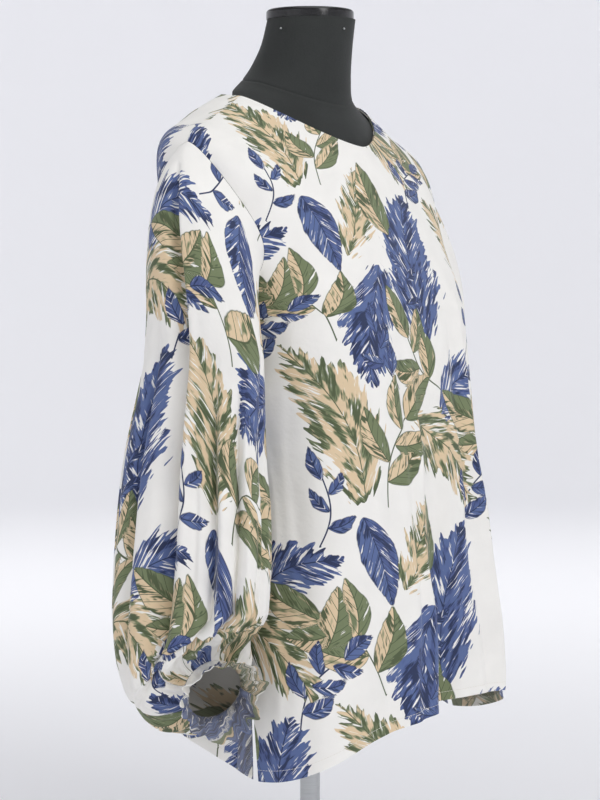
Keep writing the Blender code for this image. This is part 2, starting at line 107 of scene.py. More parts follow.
# Folds that fall from the bust and the shoulder blades. Each widens from a level to the hem.
Fold = namedtuple("Fold", "top_turn hem_turn start_level width depth")
BODY_FOLDS = [
    Fold(-50, -54, 5.0, 10, 6),
    Fold(-38, -39, 5.0, 10, -7),
    Fold(-20, -25, 4.4, 10, 6),
    Fold(-10, -18, 4.6, 9, 15),
    Fold(0, -2, 4.4, 10, -36),
    Fold(27, 26, 4.1, 10, 12),
    Fold(42, 42, 4.8, 10, -9),
    Fold(56, 58, 5.0, 10, 6),
    Fold(118, 116, 5.0, 10, 7),
    Fold(132, 131, 4.6, 10, -13),
    Fold(147, 147, 4.4, 10, 12),
    Fold(163, 163, 4.4, 10, -16),
    Fold(178, 179, 4.4, 10, 12),
    Fold(-166, -164, 4.4, 10, -15),
    Fold(-151, -148, 4.4, 10, 12),
    Fold(-136, -132, 4.6, 10, -13),
    Fold(-120, -117, 5.0, 10, 7),
]

# Rings of the right sleeve below the underarm, each level. The across half is the wearer's side to side.
SleeveRing = namedtuple("SleeveRing", "height centre_x centre_y half_across half_deep")
SLEEVE_RINGS = [
    SleeveRing(703, -249, -21, 48, 83),
    SleeveRing(646, -254, -17, 51, 91),
    SleeveRing(595, -259, -15, 54, 98),
    SleeveRing(546, -265, -18, 58, 104),
    SleeveRing(490, -272, -21, 61, 107),
    SleeveRing(432, -278, -22, 63, 106),
]
SLEEVE_CAP_PULL = 0.92

# The left sleeve swings back and a little out below the shoulder, by this much at its low end.
LEFT_SWING = 58
LEFT_OUT = 8
LEFT_SWING_TOP = 950
LEFT_SWING_LOW = 560

# Folds down the sleeve: the turn is 0 at the outer side, 90 at the front and 180 at the body.
SleeveFold = namedtuple("SleeveFold", "top_turn low_turn start end width depth")
SLEEVE_FOLDS = [
    SleeveFold(2, 3, 0.1, 2.7, 13, -8),
    SleeveFold(-22, -28, 0.6, 2.6, 13, -6),
    SleeveFold(32, 36, 1.0, 2.8, 13, -6),
    SleeveFold(66, 60, 1.1, 2.8, 13, -5),
    SleeveFold(98, 94, 0.9, 2.6, 14, -6),
    SleeveFold(140, 138, 1.2, 2.7, 14, -6),
    SleeveFold(196, 198, 1.2, 2.7, 14, -5),
    SleeveFold(250, 246, 0.8, 2.7, 14, -8),
    SleeveFold(292, 298, 0.9, 2.7, 14, -6),
]

# The elastic cuff is a ring whose mouth looks forwards, outwards and a little down.
CUFF_CENTRE = (-270, -51, 336)
CUFF_AXIS = (-0.46, -0.84, -0.28)
CUFF_RADIUS = 36
CASING_DEPTH = 12
RUFFLE_DEPTH = 22
RUFFLE_FLARE = 14

# How the sleeve leaves its armhole: outwards and down, and more steeply down at the underarm.
HEAD_OFF_SEAM = 0.5
HEAD_OUTWARD = 0.6
HEAD_DOWNWARD = 0.5
HEAD_DOWNWARD_UNDER = 0.45

# How far the pouch drops and is tucked up, behind and in front, and how it meets the cuff.
POUCH_DROP_REAR = 372
POUCH_DROP_FRONT = 70
POUCH_TUCK_REAR = 240
POUCH_TUCK_FRONT = 60
POUCH_FORWARD = 0.35
POUCH_INWARD = 0.94

# Gathers at the wrist: how many, how high, where along the sleeve they start and how far they run.
GATHERS = 10
GATHER_HEIGHT = 2.5
GATHER_START = 2.2
GATHER_RUN = 0.8

# Rings of the dress form, from its neck down to the underside inside the blouse.
FORM_RINGS = [
    Ring(54.5, -2, -57, 53, 1130, 1130, 1130, 2.0, 2.0, 1.0, 1.0),
    Ring(56.5, 5, -52, 62, 1098, 1094, 1100, 2.0, 2.0, 1.0, 1.0),
    Ring(64, 15, -48, 73, 1070, 1056, 1076, 2.0, 2.0, 1.0, 1.0),
    Ring(80, 22, -47, 80, 1050, 1024, 1058, 1.9, 2.0, 1.2, 1.0),
    Ring(101, 20, -62, 82, 1037, 994, 1044, 1.7, 2.1, 1.3, 1.0),
    Ring(121, 15, -76, 73, 1025, 965, 1029, 1.6, 2.4, 1.3, 1.0),
    Ring(175, 17, -91, 104, 1000.3, 930, 1004.5, 1.8, 2.7, 1.3, 1.0),
    Ring(206, 17, -103, 117, 975, 890, 954, 2.0, 2.6, 1.3, 1.0),
    Ring(203, 10, -124, 127, 925, 845, 890, 2.2, 2.5, 1.2, 1.0),
    Ring(178, 5, -141, 124, 830, 775, 800, 2.3, 2.4, 1.0, 1.0),
    Ring(166, 0, -134, 112, 720, 690, 700, 2.2, 2.2, 1.0, 1.0),
    Ring(156, 0, -120, 106, 630, 625, 625, 2.1, 2.1, 1.0, 1.0),
    Ring(168, 0, -126, 120, 550, 550, 550, 2.1, 2.1, 1.0, 1.0),
    Ring(170, 0, -126, 122, 500, 500, 500, 2.1, 2.1, 1.0, 1.0),
    Ring(160, 0, -118, 114, 482, 482, 482, 2.1, 2.1, 1.0, 1.0),
]

# The form's turned pieces, by their profiles, which start and end this far from the axis.
AXIS_GAP = 1.0
CAP_RADIUS = 54.5
CAP_HEIGHT = 12
CAP_ROUND = 4
CAP_RIM = 6
POLE_RADIUS = 12.5
BASE_RADIUS = 150
BASE_HEIGHT = 12
BASE_ROUND = 3
SOCKET_RADIUS = 20
SOCKET_HEIGHT = 30
SOCKET_ROUND = 2

# Softer, finer folds of the body: turns and levels of their two ends, width in degrees, depth in mm.
Crease = namedtuple("Crease", "start_turn start end_turn end width depth")
BODY_CREASES = [
    Crease(27, 3.7, 26, 9.6, 2.6, 9.0),
    Crease(33, 4.0, 32, 9.6, 4.0, -8.0),
    Crease(20, 4.0, 19, 9.6, 4.0, -7.0),
    Crease(-9, 4.4, -17, 9.6, 2.6, 8.0),
    Crease(-14, 4.5, -23, 9.6, 3.6, -8.0),
    Crease(-27, 4.9, -34, 9.6, 5.0, -4.0),
    Crease(-36, 5.2, -43, 8.4, 3.0, 1.8),
    Crease(-61, 4.6, -66, 8.4, 4.0, -2.2),
    Crease(-72, 5.0, -76, 8.4, 3.0, 1.8),
    Crease(8, 4.3, 8, 9.6, 4.0, 3.6),
    Crease(56, 4.2, 60, 8.4, 4.5, -2.4),
    Crease(72, 4.8, 75, 8.4, 3.5, 2.0),
    Crease(-47, 2.3, -58, 4.2, 4.0, -1.8),
    Crease(47, 2.3, 57, 4.2, 4.0, -1.8),
    Crease(-18, 1.0, -34, 3.6, 5.0, -1.2),
    Crease(20, 1.0, 35, 3.6, 5.0, -1.2),
    Crease(126, 4.2, 122, 8.4, 3.5, 2.4),
    Crease(155, 4.0, 156, 8.4, 3.0, -2.4),
    Crease(171, 4.2, 170, 8.4, 3.0, 2.2),
    Crease(-173, 4.0, -172, 8.4, 3.5, -2.2),
    Crease(-158, 4.2, -156, 8.4, 3.0, 2.4),
    Crease(-127, 4.2, -123, 8.4, 3.5, 2.4),
    Crease(-100, 5.2, -98, 8.4, 3.5, -2.0),
    Crease(104, 5.2, 101, 8.4, 3.5, -2.0),
    Crease(150, 1.9, 138, 4.4, 4.0, -1.6),
    Crease(-150, 1.9, -138, 4.4, 4.0, -1.6),
]
CREASE_WANDER = 1.1

# The bust darts run from the side seams up to their tips. The cloth below a dart's line stands up a little.
DART_TIP = (55, 3.92)
DART_END = (90, 4.28)
DART_WIDTH = 2.6
DART_DEPTH = 2.4
DART_FADE = 6
DART_RIDGE = 0.6
DART_RIDGE_OFF = 5

# How many mm a level measures at the darts and at the hem.
DART_LEVEL_SIZE = 110
HEM_LEVEL_SIZE = 130

# A faint unevenness all over, the line of the hem's stitches, and the level where fine folds start in full.
UNEVEN_HEIGHT = 0.45
HEM_LINE_DEPTH = 0.5
HEM_LINE_WIDTH = 2.2
FINE_START = 0.5

# Finer folds down the sleeve, on the same terms, but along the sleeve: 0 head, 1 tube, 2 pouch, 3 wrist.
SLEEVE_CREASES = [
    Crease(3, 0.12, 6, 2.9, 8.0, -16.0),
    Crease(5, 0.15, 8, 2.85, 2.6, -13.0),
    Crease(13, 0.3, 16, 2.7, 5.0, 6.0),
    Crease(-30, 0.7, -33, 2.8, 6.0, -7.0),
    Crease(-29, 0.9, -32, 2.8, 2.4, -6.0),
    Crease(-21, 0.9, -23, 2.7, 4.5, 3.6),
    Crease(37, 0.9, 40, 2.9, 5.5, -8.0),
    Crease(38, 1.1, 41, 2.8, 2.3, -7.0),
    Crease(44, 1.1, 47, 2.7, 4.0, 3.6),
    Crease(25, 1.3, 27, 2.8, 3.5, -3.6),
    Crease(63, 1.0, 57, 2.9, 5.5, -8.0),
    Crease(64, 1.0, 58, 2.8, 2.3, -7.0),
    Crease(71, 1.2, 65, 2.7, 4.0, 3.6),
    Crease(86, 1.5, 82, 2.9, 4.5, -6.0),
    Crease(104, 0.6, 100, 2.8, 6.0, -5.0),
    Crease(118, 1.0, 116, 2.8, 5.0, 2.2),
    Crease(152, 1.2, 150, 2.8, 5.0, -2.6),
    Crease(-60, 0.6, -62, 2.7, 6.0, -6.0),
    Crease(-76, 1.0, -76, 2.7, 5.0, 2.4),
    Crease(-92, 0.8, -95, 2.7, 6.0, -6.0),
    Crease(-118, 1.0, -120, 2.7, 6.0, 2.4),
    Crease(-140, 1.0, -142, 2.7, 6.0, -5.0),
]

# Folds slung across the front of the pouch, from the gathered wrist round the lower side.
Sling = namedtuple("Sling", "along turn width spread depth")
SLINGS = [
    Sling(2.33, 34, 0.030, 42, 4.5),
    Sling(2.41, 30, 0.035, 46, -7.0),
    Sling(2.54, 12, 0.030, 40, 4.5),
    Sling(2.62, 8, 0.035, 46, -7.0),
    Sling(2.50, -70, 0.040, 40, -5.0),
    Sling(2.46, 110, 0.035, 30, -2.2),
]
SLING_BOW = 0.10

# Finer gathers closer to the wrist, on the same terms as the larger ones.
FINE_GATHERS = 31
FINE_GATHER_HEIGHT = 2.6
FINE_GATHER_START = 2.55
FINE_GATHER_RUN = 0.45

# Waves crumple the ruffle, with smaller ripples that don't line up with them. It leans and sags unevenly too.
CRUMPLE_WAVES = 13
CRUMPLE_HEIGHT = 4.0
CRUMPLE_SWAY = 2.2
CRUMPLE_LEAN = 3.6
RIPPLE_WAVES = 23
RIPPLE_HEIGHT = 1.3
SAG_HEIGHT = 3.2
SLOW_LEAN = 2.0

# The elastic draws the casing into gathers.
CASING_GATHERS = 23
CASING_GATHER_HEIGHT = 2.0

# The facing's lower edge, and the groove of the form's neck seam: its level, its width, and how many mm a
# level measures there.
FACING_LEVEL = 0.25
NECK_SEAM_LEVEL = 3.0
NECK_SEAM_WIDTH = 1.2
NECK_LEVEL_SIZE = 28

# The studio, in mm, from the small round face in its floor's middle. Its soft round lights are in metres.
STUDIO_RADIUS = 7500
FLOOR_RADIUS = 10.0
COVE_RADIUS = 2000
COVE_STEPS = 12
STUDIO_HEIGHT = 3200
Light = namedtuple("Light", "name size place aim")
LIGHTS = [
    Light("key", 1.8, (-1.2, -3.6, 2.6), (0, 0, 0.7)),
    Light("top", 3.0, (-0.3, -0.6, 3.4), (0, 0, 0)),
    Light("fill", 2.6, (-3.6, 0.6, 1.6), (0, 0, 0.7)),
]

# More lights in a ring over the form, out of the camera's view, are aimed low at the cove. In metres.
WASH_LIGHTS = 6
WASH_SIZE = 3.0
WASH_RADIUS = 3.2
WASH_HEIGHT = 3.1
WASH_AIM = 5.4
WASH_AIM_HEIGHT = 0.5

# The camera: its focus and sideways shift in pixels of the photograph, its height in metres and its dip.
SENSOR_HEIGHT = 36
CAMERA_FOCUS = 2430
CAMERA_SHIFT = -10
CAMERA_HEIGHT = 0.82
CAMERA_DIP = math.radians(3.06)

# How finely the cloth is divided. A panel's rows are counted above, along and below its armhole.
FACING_STEPS = 400
FACING_ROWS = 8
PANEL_STEPS = 236
SHOULDER_ROWS = 48
ARMHOLE_ROWS = 90
LOWER_ROWS = 162
SLEEVE_STEPS = 280
SLEEVE_ROWS = 268
CUFF_STEPS = 288
CUFF_ROWS = 20
FORM_STEPS = 120
FORM_ROWS = 12
TURNED_STEPS = 96

# The columns over which a panel gives way at its edges to the seam gap and the slit.
EDGE_COLUMNS = 12

# The right slit's allowance lies open: how many columns wide it is, its first row, how soon it widens, and
# how far it stands off and curls up.
FLAP_COLUMNS = 8
FLAP_ROW = 240
FLAP_WIDENING = 0.55
FLAP_OFF = 1.0
FLAP_CURL = 1.6

# Sewing: levels on the body, and the thread's radius, gaps and pitches in mm. The hem's lines reach nearly
# to the side seams, by this share of a quarter turn.
HEM_STITCH_LEVEL = 7.84
OVERLOCK_LEVELS = (7.80, 7.87)
HEM_REACH = 0.985
HEM_LINE_STEPS = 400
CASING_LINE_STEPS = 240
CASING_LINE_OFF = 1.0
STITCH_RADIUS = 0.22
STITCH_GAP = 1.1
SLIT_PITCH = 1.6
HEM_PITCH = 2.2

# Two pins at the top of the form's neck, by their sideways place seen from the camera, and their height.
PINS = [(-35.6, 1116), (41.8, 1116)]
PIN_REACH = 56
PIN_HEAD = [(0.05, 1.3), (0.9, 1.0), (1.4, 0), (0.9, -1.0), (0.05, -1.3)]

# Where each piece is cut from the print, in mm across and up.
CUT_PLACES = {
    "front": (40, 30),
    "back": (190, 110),
    "neck_facing": (20, 250),
    "sleeve_right": (120, 20),
    "sleeve_left": (250, 180),
    "cuff_right": (100, 90),
    "cuff_left": (100, 90),
    "slit_allowance": (75, 195),
}

# The motifs in half of the print's repeat. The other half is the same, dropped by half a repeat.
# A motif starts at x and y, points at an angle and bends sideways by a share of its length.
Motif = namedtuple("Motif", "layer x y angle length width bend")
FRONDS = [
    Motif("blue_frond", 50, -6, 78, 204, 112, 0.08),
    Motif("blue_frond", 316, 306, 250, 166, 98, -0.10),
    Motif("blue_frond", 66, 326, 20, 136, 72, 0.12),
    Motif("olive_frond", 228, 16, 112, 206, 98, -0.13),
    Motif("olive_frond", -4, 322, 318, 176, 86, 0.12),
    Motif("olive_frond", 264, 326, 60, 130, 66, -0.10),
    Motif("broad_leaf", 28, 128, 98, 104, 52, 0.07),
    Motif("blue_leaf", 222, 420, 282, 112, 54, 0.06),
    Motif("broad_leaf", 142, 262, 66, 90, 44, -0.08),
]
# A sprig is a stem with leaves on both sides and one at its end.
Sprig = namedtuple("Sprig", "layer x y angle length bend leaves leaf_length leaf_width")
SPRIGS = [
    Sprig("broad_leaf", 262, 8, 62, 120, 0.14, 4, 86, 42),
    Sprig("broad_leaf", 220, 208, 126, 122, -0.12, 4, 90, 46),
    Sprig("broad_leaf", 74, 352, 132, 92, 0.12, 3, 78, 38),
    Sprig("blue_leaf", 100, 172, 52, 112, 0.14, 5, 52, 24),
    Sprig("blue_leaf", 164, 388, 80, 82, -0.14, 3, 44, 20),
    Sprig("blue_leaf", 314, 146, 118, 78, 0.12, 3, 48, 21),
    Sprig("blue_leaf", 8, 24, 70, 84, -0.12, 4, 40, 18),
]
LEAF_LAYERS = ("blue_frond", "olive_frond", "broad_leaf", "blue_leaf")
STEM_LAYER = "stems"
LEAF_SPLAY = 44

# How far from a leaf and from a stem the print's fields reach, and how far apart two motifs' strokes lie.
PRINT_REACH = 30
STEM_REACH = 8
STROKE_OFFSET = 211

# Threads are 0.3 mm apart in the real cloth. They are drawn 1.3 mm apart, which is as fine as shows.
THREAD_SPACING = 1.3


def add(tree, kind, inputs=None, **settings):
    """A shader node with its settings, its values and its links. A node given as a value gives its output."""
    node = tree.nodes.new("ShaderNode" + kind)
    for name, value in settings.items():
        setattr(node, name, value)
    for key, value in (inputs or {}).items():
        if isinstance(value, bpy.types.Node):
            value = next(output for output in value.outputs if output.enabled)
        if isinstance(value, bpy.types.NodeSocket):
            tree.links.new(value, node.inputs[key])
        else:
            node.inputs[key].default_value = value
    return node


def linear(hexadecimal):
    """The linear colour of an sRGB hex value, opaque."""
    parts = [int(hexadecimal[place:place + 2], 16) / 255 for place in (0, 2, 4)]
    return (*(part / 12.92 if part <= 0.04045 else ((part + 0.055) / 1.055) ** 2.4 for part in parts), 1)


def toned(colour, factor):
    """The same colour, darker or lighter."""
    return (*(min(1.0, factor * part) for part in colour[:3]), 1)


def between(table, place):
    """The columns of a table at places between its rows, on a smooth curve through them."""
    rows = np.array(table, dtype=float)
    place = np.asarray(place, dtype=float)
    low = np.clip(place.astype(int), 0, len(rows) - 2)
    part = (place - low)[..., None]
    before = rows[np.maximum(low - 1, 0)]
    start = rows[low]
    stop = rows[low + 1]
    after = rows[np.minimum(low + 2, len(rows) - 1)]
    cubic = 3 * (start - stop) + after - before
    square = 2 * before - 5 * start + 4 * stop - after
    value = start + 0.5 * part * (stop - before + part * (square + part * cubic))
    return [value[..., column] for column in range(rows.shape[1])]


def unit(vectors):
    """The same vectors, each one long."""
    return vectors / np.maximum(np.linalg.norm(vectors, axis=-1, keepdims=True), 1e-12)


def ring_point(table, turn, level):
    """A point on the rings of a table. The turn is 0 at the front and a quarter at the left side."""
    ring = Ring(*between(table, level))
    forward = np.cos(turn)
    sideways = np.sin(turn)
    in_front = forward >= 0
    square = np.where(in_front, ring.front_square, ring.back_square)
    size = (np.abs(forward) ** square + np.abs(sideways) ** square) ** (1 / square)
    reach = np.abs(forward) / size
    x = ring.half_width * sideways / size
    y = ring.side_y + reach * (np.where(in_front, ring.front_y, ring.back_y) - ring.side_y)
    end_z = np.where(in_front, ring.front_z, ring.back_z)
    lift = np.where(in_front, ring.front_lift, ring.back_lift)
    z = ring.side_z + reach ** lift * (end_z - ring.side_z)
    return np.stack([x, y, z], axis=-1)


def normals(surface, turn, level, step=0.01):
    """Outward normals of a surface whose turn runs anticlockwise from above and whose level goes down."""
    aside = surface(turn + step, level) - surface(turn - step, level)
    down = surface(turn, level + step) - surface(turn, level - step)
    return unit(np.cross(down, aside))


def smooth_bump(distance, width):
    """One at no distance, falling off smoothly over the width."""
    return np.exp(-(distance / width) ** 2)


def turn_between(turn, other):
    """The difference of two turns, the short way round."""
    return (turn - other + math.pi) % (2 * math.pi) - math.pi


def body_base(turn, level):
    """The body of the blouse before its folds, with the hem hanging lower on the right."""
    points = ring_point(BODY_RINGS, turn, level)
    hang = np.clip(np.asarray(level, dtype=float) / HEM, 0, 1) ** 4
    widest = BODY_RINGS[HEM].half_width
    points[..., 2] += HEM_TILT * hang * points[..., 0] / widest
    return points


def body_relief(turn, level):
    """How far the bust and the folds lift the cloth off the plain rings."""
    level = np.asarray(level, dtype=float)
    bust = smooth_bump(np.abs(turn) - BUST_TURN, BUST_WIDTH) * smooth_bump(level - BUST_LEVEL, BUST_SPAN)
    relief = BUST_FULLNESS * bust
    for fold in BODY_FOLDS:
        grown = np.clip((level - fold.start_level) / (HEM - fold.start_level), 0, 1)
        middle = np.radians(fold.top_turn + (fold.hem_turn - fold.top_turn) * grown)
        away = turn_between(turn, middle)
        relief = relief + fold.depth * grown ** 1.2 * smooth_bump(away, math.radians(fold.width))
    return relief


def body_surface(turn, level):
    """The outer face of the body, with the bust and the folds."""
    turn, level = np.broadcast_arrays(turn, level)
    points = body_base(turn, level)
    return points + normals(body_base, turn, level) * body_relief(turn, level)[..., None]


def armhole_edge(level, reach):
    """How far round a panel goes at a level: the side seam, less the curve of the armhole."""
    part = np.clip((level - SHOULDER_POINT) / (UNDERARM - SHOULDER_POINT), 0, 1)
    return QUARTER - reach * np.sin(math.pi * part) ** ARMHOLE_BLUNTNESS


def hermite(start, stop, leave, arrive, part):
    """A smooth path from start to stop with the given directions at its ends."""
    square = part * part
    cube = square * part
    return (start * (2 * cube - 3 * square + 1) + leave * (cube - 2 * square + part)
            + stop * (3 * square - 2 * cube) + arrive * (cube - square))


def sleeve_ring_point(turn, place):
    """A point on the sleeve's plain rings. The place counts the rows of their table."""
    ring = SleeveRing(*between(SLEEVE_RINGS, place))
    x = ring.centre_x - ring.half_across * np.cos(turn)
    y = ring.centre_y - ring.half_deep * np.sin(turn)
    return np.stack([x, y, np.broadcast_to(ring.height, x.shape)], axis=-1)


def cuff_axes():
    """The cuff's axis out of its mouth, and its outward and upward directions."""
    axis = unit(np.array(CUFF_AXIS))
    upward = unit(np.array([0, 0, 1.0]) - axis * axis[2])
    return axis, np.cross(axis, upward), upward


def cuff_circle(turn, radius, forward):
    """Points round the cuff's axis, a distance forward of the casing's start."""
    axis, aside, upward = cuff_axes()
    spoke = aside * np.cos(turn)[..., None] + upward * np.sin(turn)[..., None]
    centre = np.array(CUFF_CENTRE) + axis * np.asarray(forward)[..., None]
    return centre + spoke * np.asarray(radius)[..., None], spoke


def left_side(points, along):
    """The mirrored points of a sleeve, which hangs further back on the left but stays on its armhole."""
    moved = points * np.array([-1, 1, 1])
    part = np.clip((LEFT_SWING_TOP - moved[..., 2]) / (LEFT_SWING_TOP - LEFT_SWING_LOW), 0, 1)
    held = np.clip(along, 0, 1)
    swing = part * part * (3 - 2 * part) * held * held * (3 - 2 * held)
    moved[..., 0] += LEFT_OUT * swing
    moved[..., 1] += LEFT_SWING * swing
    return moved


def wander(place, number):
    """A slow sideways drift of a crease, different for each one."""
    drift = np.sin(2.1 * place + 1.7 * number) + 0.6 * np.sin(4.3 * place + number)
    return math.radians(CREASE_WANDER) * drift


def crease_relief(creases, turn, place, steep):
    """Soft uneven ridges and troughs that fade in and out along their length.

    Steep is 1 where a trough is steeper towards higher turns and a ridge towards lower ones, or else -1.
    """
    relief = 0 * turn
    for number, crease in enumerate(creases):
        part = np.clip((place - crease.start) / (crease.end - crease.start), 0, 1)
        middle = np.radians(crease.start_turn + (crease.end_turn - crease.start_turn) * part)
        away = turn_between(turn, middle + wander(place, number))
        away = away * np.where(away * crease.depth * steep < 0, 1.7, 0.8)
        uneven = 1 + 0.25 * np.sin(3.7 * place + 2.3 * number)
        strength = np.sin(math.pi * part ** 0.8) ** 0.8 * uneven
        relief = relief + crease.depth * strength * smooth_bump(away, math.radians(crease.width))
    return relief


def dart_relief(turn, level):
    """The pressed line of each bust dart."""
    across = np.abs(turn_between(turn, 0)) - math.radians(DART_TIP[0])
    part = across / math.radians(DART_END[0] - DART_TIP[0])
    line = DART_TIP[1] + (DART_END[1] - DART_TIP[1]) * part
    off = (level - line) * DART_LEVEL_SIZE
    ridge = DART_RIDGE * smooth_bump(off - DART_RIDGE_OFF, 2 * DART_WIDTH)
    return -DART_DEPTH * np.clip(part * DART_FADE, 0, 1) * (smooth_bump(off, DART_WIDTH) - ridge)


def cloth_surface(turn, level):
    """The body's outer face with its finest folds."""
    turn, level = np.broadcast_arrays(np.asarray(turn, dtype=float), np.asarray(level, dtype=float))
    fine = crease_relief(BODY_CREASES, turn, level, -1) * bpy.context.scene.blouse_cloth.crease_depth
    fine = fine + dart_relief(turn, level)
    fine = fine + UNEVEN_HEIGHT * np.sin(23 * turn + 1.3 * level) * np.sin(2.9 * level + 5 * turn)
    hem_line = smooth_bump((level - HEM_STITCH_LEVEL) * HEM_LEVEL_SIZE, HEM_LINE_WIDTH)
    fine = fine * np.clip(level / FINE_START, 0, 1) - HEM_LINE_DEPTH * hem_line
    return body_surface(turn, level) + normals(body_base, turn, level) * fine[..., None]


def grid_normals(points):
    """Outward normals of a grid whose rows go down and whose columns run anticlockwise, seen from above."""
    down = np.gradient(points, axis=0)
    aside = np.gradient(points, axis=1)
    return unit(np.cross(down, aside))


def flat_places(points, middle_column, level_row):
    """Each point's place on the flat cloth in mm: across from a column, and up from a row."""
    aside = np.linalg.norm(np.diff(points, axis=1), axis=-1)
    across = np.concatenate([np.zeros((len(points), 1)), np.cumsum(aside, axis=1)], axis=1)
    across = across - across[:, middle_column:middle_column + 1]
    down = np.linalg.norm(np.diff(points, axis=0), axis=-1)
    along = np.concatenate([np.zeros((1, points.shape[1])), np.cumsum(down, axis=0)], axis=0)
    return across, along[level_row:level_row + 1] - along


def sprig_motifs(sprig):
    """The leaves of a sprig, on both sides of its stem and at its end."""
    axis = math.radians(sprig.angle)
    ahead = np.array([math.cos(axis), math.sin(axis)])
    aside = np.array([-math.sin(axis), math.cos(axis)])
    leaves = []
    for number in range(sprig.leaves):
        part = (number + 1.2) / (sprig.leaves + 1.2)
        foot = ahead * sprig.length * part + aside * sprig.length * sprig.bend * math.sin(math.pi * part)
        lean = math.degrees(math.atan(sprig.bend * math.pi * math.cos(math.pi * part)))
        side = 1 if number % 2 else -1
        size = 1 - 0.25 * part
        leaves.append(Motif(sprig.layer, sprig.x + foot[0], sprig.y + foot[1],
                            sprig.angle + lean + side * LEAF_SPLAY, sprig.leaf_length * size,
                            sprig.leaf_width * size, 0.10 * side))
    tip = ahead * sprig.length * 0.96
    lean = math.degrees(math.atan(-sprig.bend * math.pi))
    leaves.append(Motif(sprig.layer, sprig.x + tip[0], sprig.y + tip[1], sprig.angle + lean,
                        sprig.leaf_length, sprig.leaf_width, 0.06))
    return leaves


def repeat_motifs():
    """All motifs of the whole repeat: the listed half, and the same half dropped."""
    cloth = bpy.context.scene.blouse_cloth
    half = list(FRONDS)
    for sprig in SPRIGS:
        half += sprig_motifs(sprig)
        # Stems are all one width, so a stem's width says its colour instead: 1 is blue and 0 is olive.
        blue = float(sprig.layer == "blue_leaf")
        half.append(Motif(STEM_LAYER, sprig.x, sprig.y, sprig.angle, sprig.length, blue, sprig.bend))
    width = cloth.repeat_width / MM
    drop = cloth.repeat_height / MM / 2
    return half + [motif._replace(x=motif.x + width, y=motif.y + drop) for motif in half]


def motif_place(motif, x, y):
    """Where points lie on a motif of the endless repeat: along it and across it, in mm."""
    cloth = bpy.context.scene.blouse_cloth
    width = 2 * cloth.repeat_width / MM
    height = cloth.repeat_height / MM
    axis = math.radians(motif.angle)
    middle_x = motif.x + math.cos(axis) * motif.length / 2
    middle_y = motif.y + math.sin(axis) * motif.length / 2
    off_x = (x - middle_x + width / 2) % width - width / 2
    off_y = (y - middle_y + height / 2) % height - height / 2
    along = off_x * math.cos(axis) + off_y * math.sin(axis) + motif.length / 2
    across = off_y * math.cos(axis) - off_x * math.sin(axis)
    bow = motif.bend * motif.length * np.sin(math.pi * np.clip(along / motif.length, 0, 1))
    return along, across - bow


def leaf_reach(motif, along, across):
    """How far points lie inside a motif's outline, in mm, and below zero outside."""
    part = np.clip(along / motif.length, 0, 1)
    if motif.layer.endswith("frond"):
        half = motif.width / 2 * np.sin(math.pi * part ** 0.85) ** 0.6
    else:
        half = motif.width / 2 * np.sin(math.pi * part ** 0.8) ** 0.9
    beyond = np.maximum(-along, along - motif.length)
    return np.where(beyond > 0, -beyond, 0) + half - np.abs(across)


def print_fields(x, y):
    """For each layer of leaves, the reach inside the nearest motif, the place along it and across it.

    For the stems, how near the nearest one is, the place across it and its colour.
    """
    nothing = np.zeros(x.shape)
    fields = {layer: [nothing - PRINT_REACH, nothing, nothing] for layer in LEAF_LAYERS}
    fields[STEM_LAYER] = [nothing, nothing, nothing]
    for number, motif in enumerate(repeat_motifs()):
        along, across = motif_place(motif, x, y)
        if motif.layer == STEM_LAYER:
            inside = np.clip(np.minimum(along, motif.length - along) / 2 + 0.5, 0, 1)
            found = inside * np.clip(1 - np.abs(across) / STEM_REACH, 0, 1), across, motif.width
        else:
            found = leaf_reach(motif, along, across), along + STROKE_OFFSET * number, across
        best = fields[motif.layer]
        nearer = found[0] > best[0]
        fields[motif.layer] = [np.where(nearer, new, old) for new, old in zip(found, best)]
    return {layer: np.stack(field, axis=-1) for layer, field in fields.items()}


def grid_faces(numbers):
    """Quads of a grid of point numbers, whose rows go down and whose columns run anticlockwise."""
    here, beside = numbers[:, :-1], numbers[:, 1:]
    return np.stack([here[:-1], here[1:], beside[1:], beside[:-1]], axis=-1).reshape(-1, 4)


def ring_faces(points):
    """Quads of a grid of points whose rows are closed rings."""
    numbers = np.arange(points.shape[0] * points.shape[1]).reshape(points.shape[:2])
    return grid_faces(np.concatenate([numbers, numbers[:, :1]], axis=1))


def bridge(fine, coarse, turned):
    """Triangles between an edge of the outer grid and the same edge of the inner grid, half as fine."""
    faces = []
    for step in range(len(coarse) - 1):
        first, second, third = (int(fine[2 * step + number]) for number in range(3))
        inner, after = int(coarse[step]), int(coarse[step + 1])
        faces += [(first, inner, second), (second, inner, after), (second, after, third)]
    return [face[::-1] for face in faces] if turned else faces


def smooth_mesh(name, points, faces, materials, sharp=None):
    """A smooth mesh from points in mm. Edges that bend by more than the sharp angle stay crisp."""
    mesh = bpy.data.meshes.new(name)
    mesh.from_pydata((points * MM).tolist(), [], faces)
    for material in materials:
        mesh.materials.append(material)
    mesh.shade_smooth()
    if sharp:
        mesh.set_sharp_from_angle(angle=math.radians(sharp))
    mesh.update()
    return mesh


def placed(name, mesh, node=None):
    """A mesh as a visible piece, which stands in for a node if it is given one."""
    made = bpy.data.objects.new(name, mesh)
    bpy.context.scene.collection.objects.link(made)
    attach(made, "root")
    if node:
        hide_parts(node)
    return made


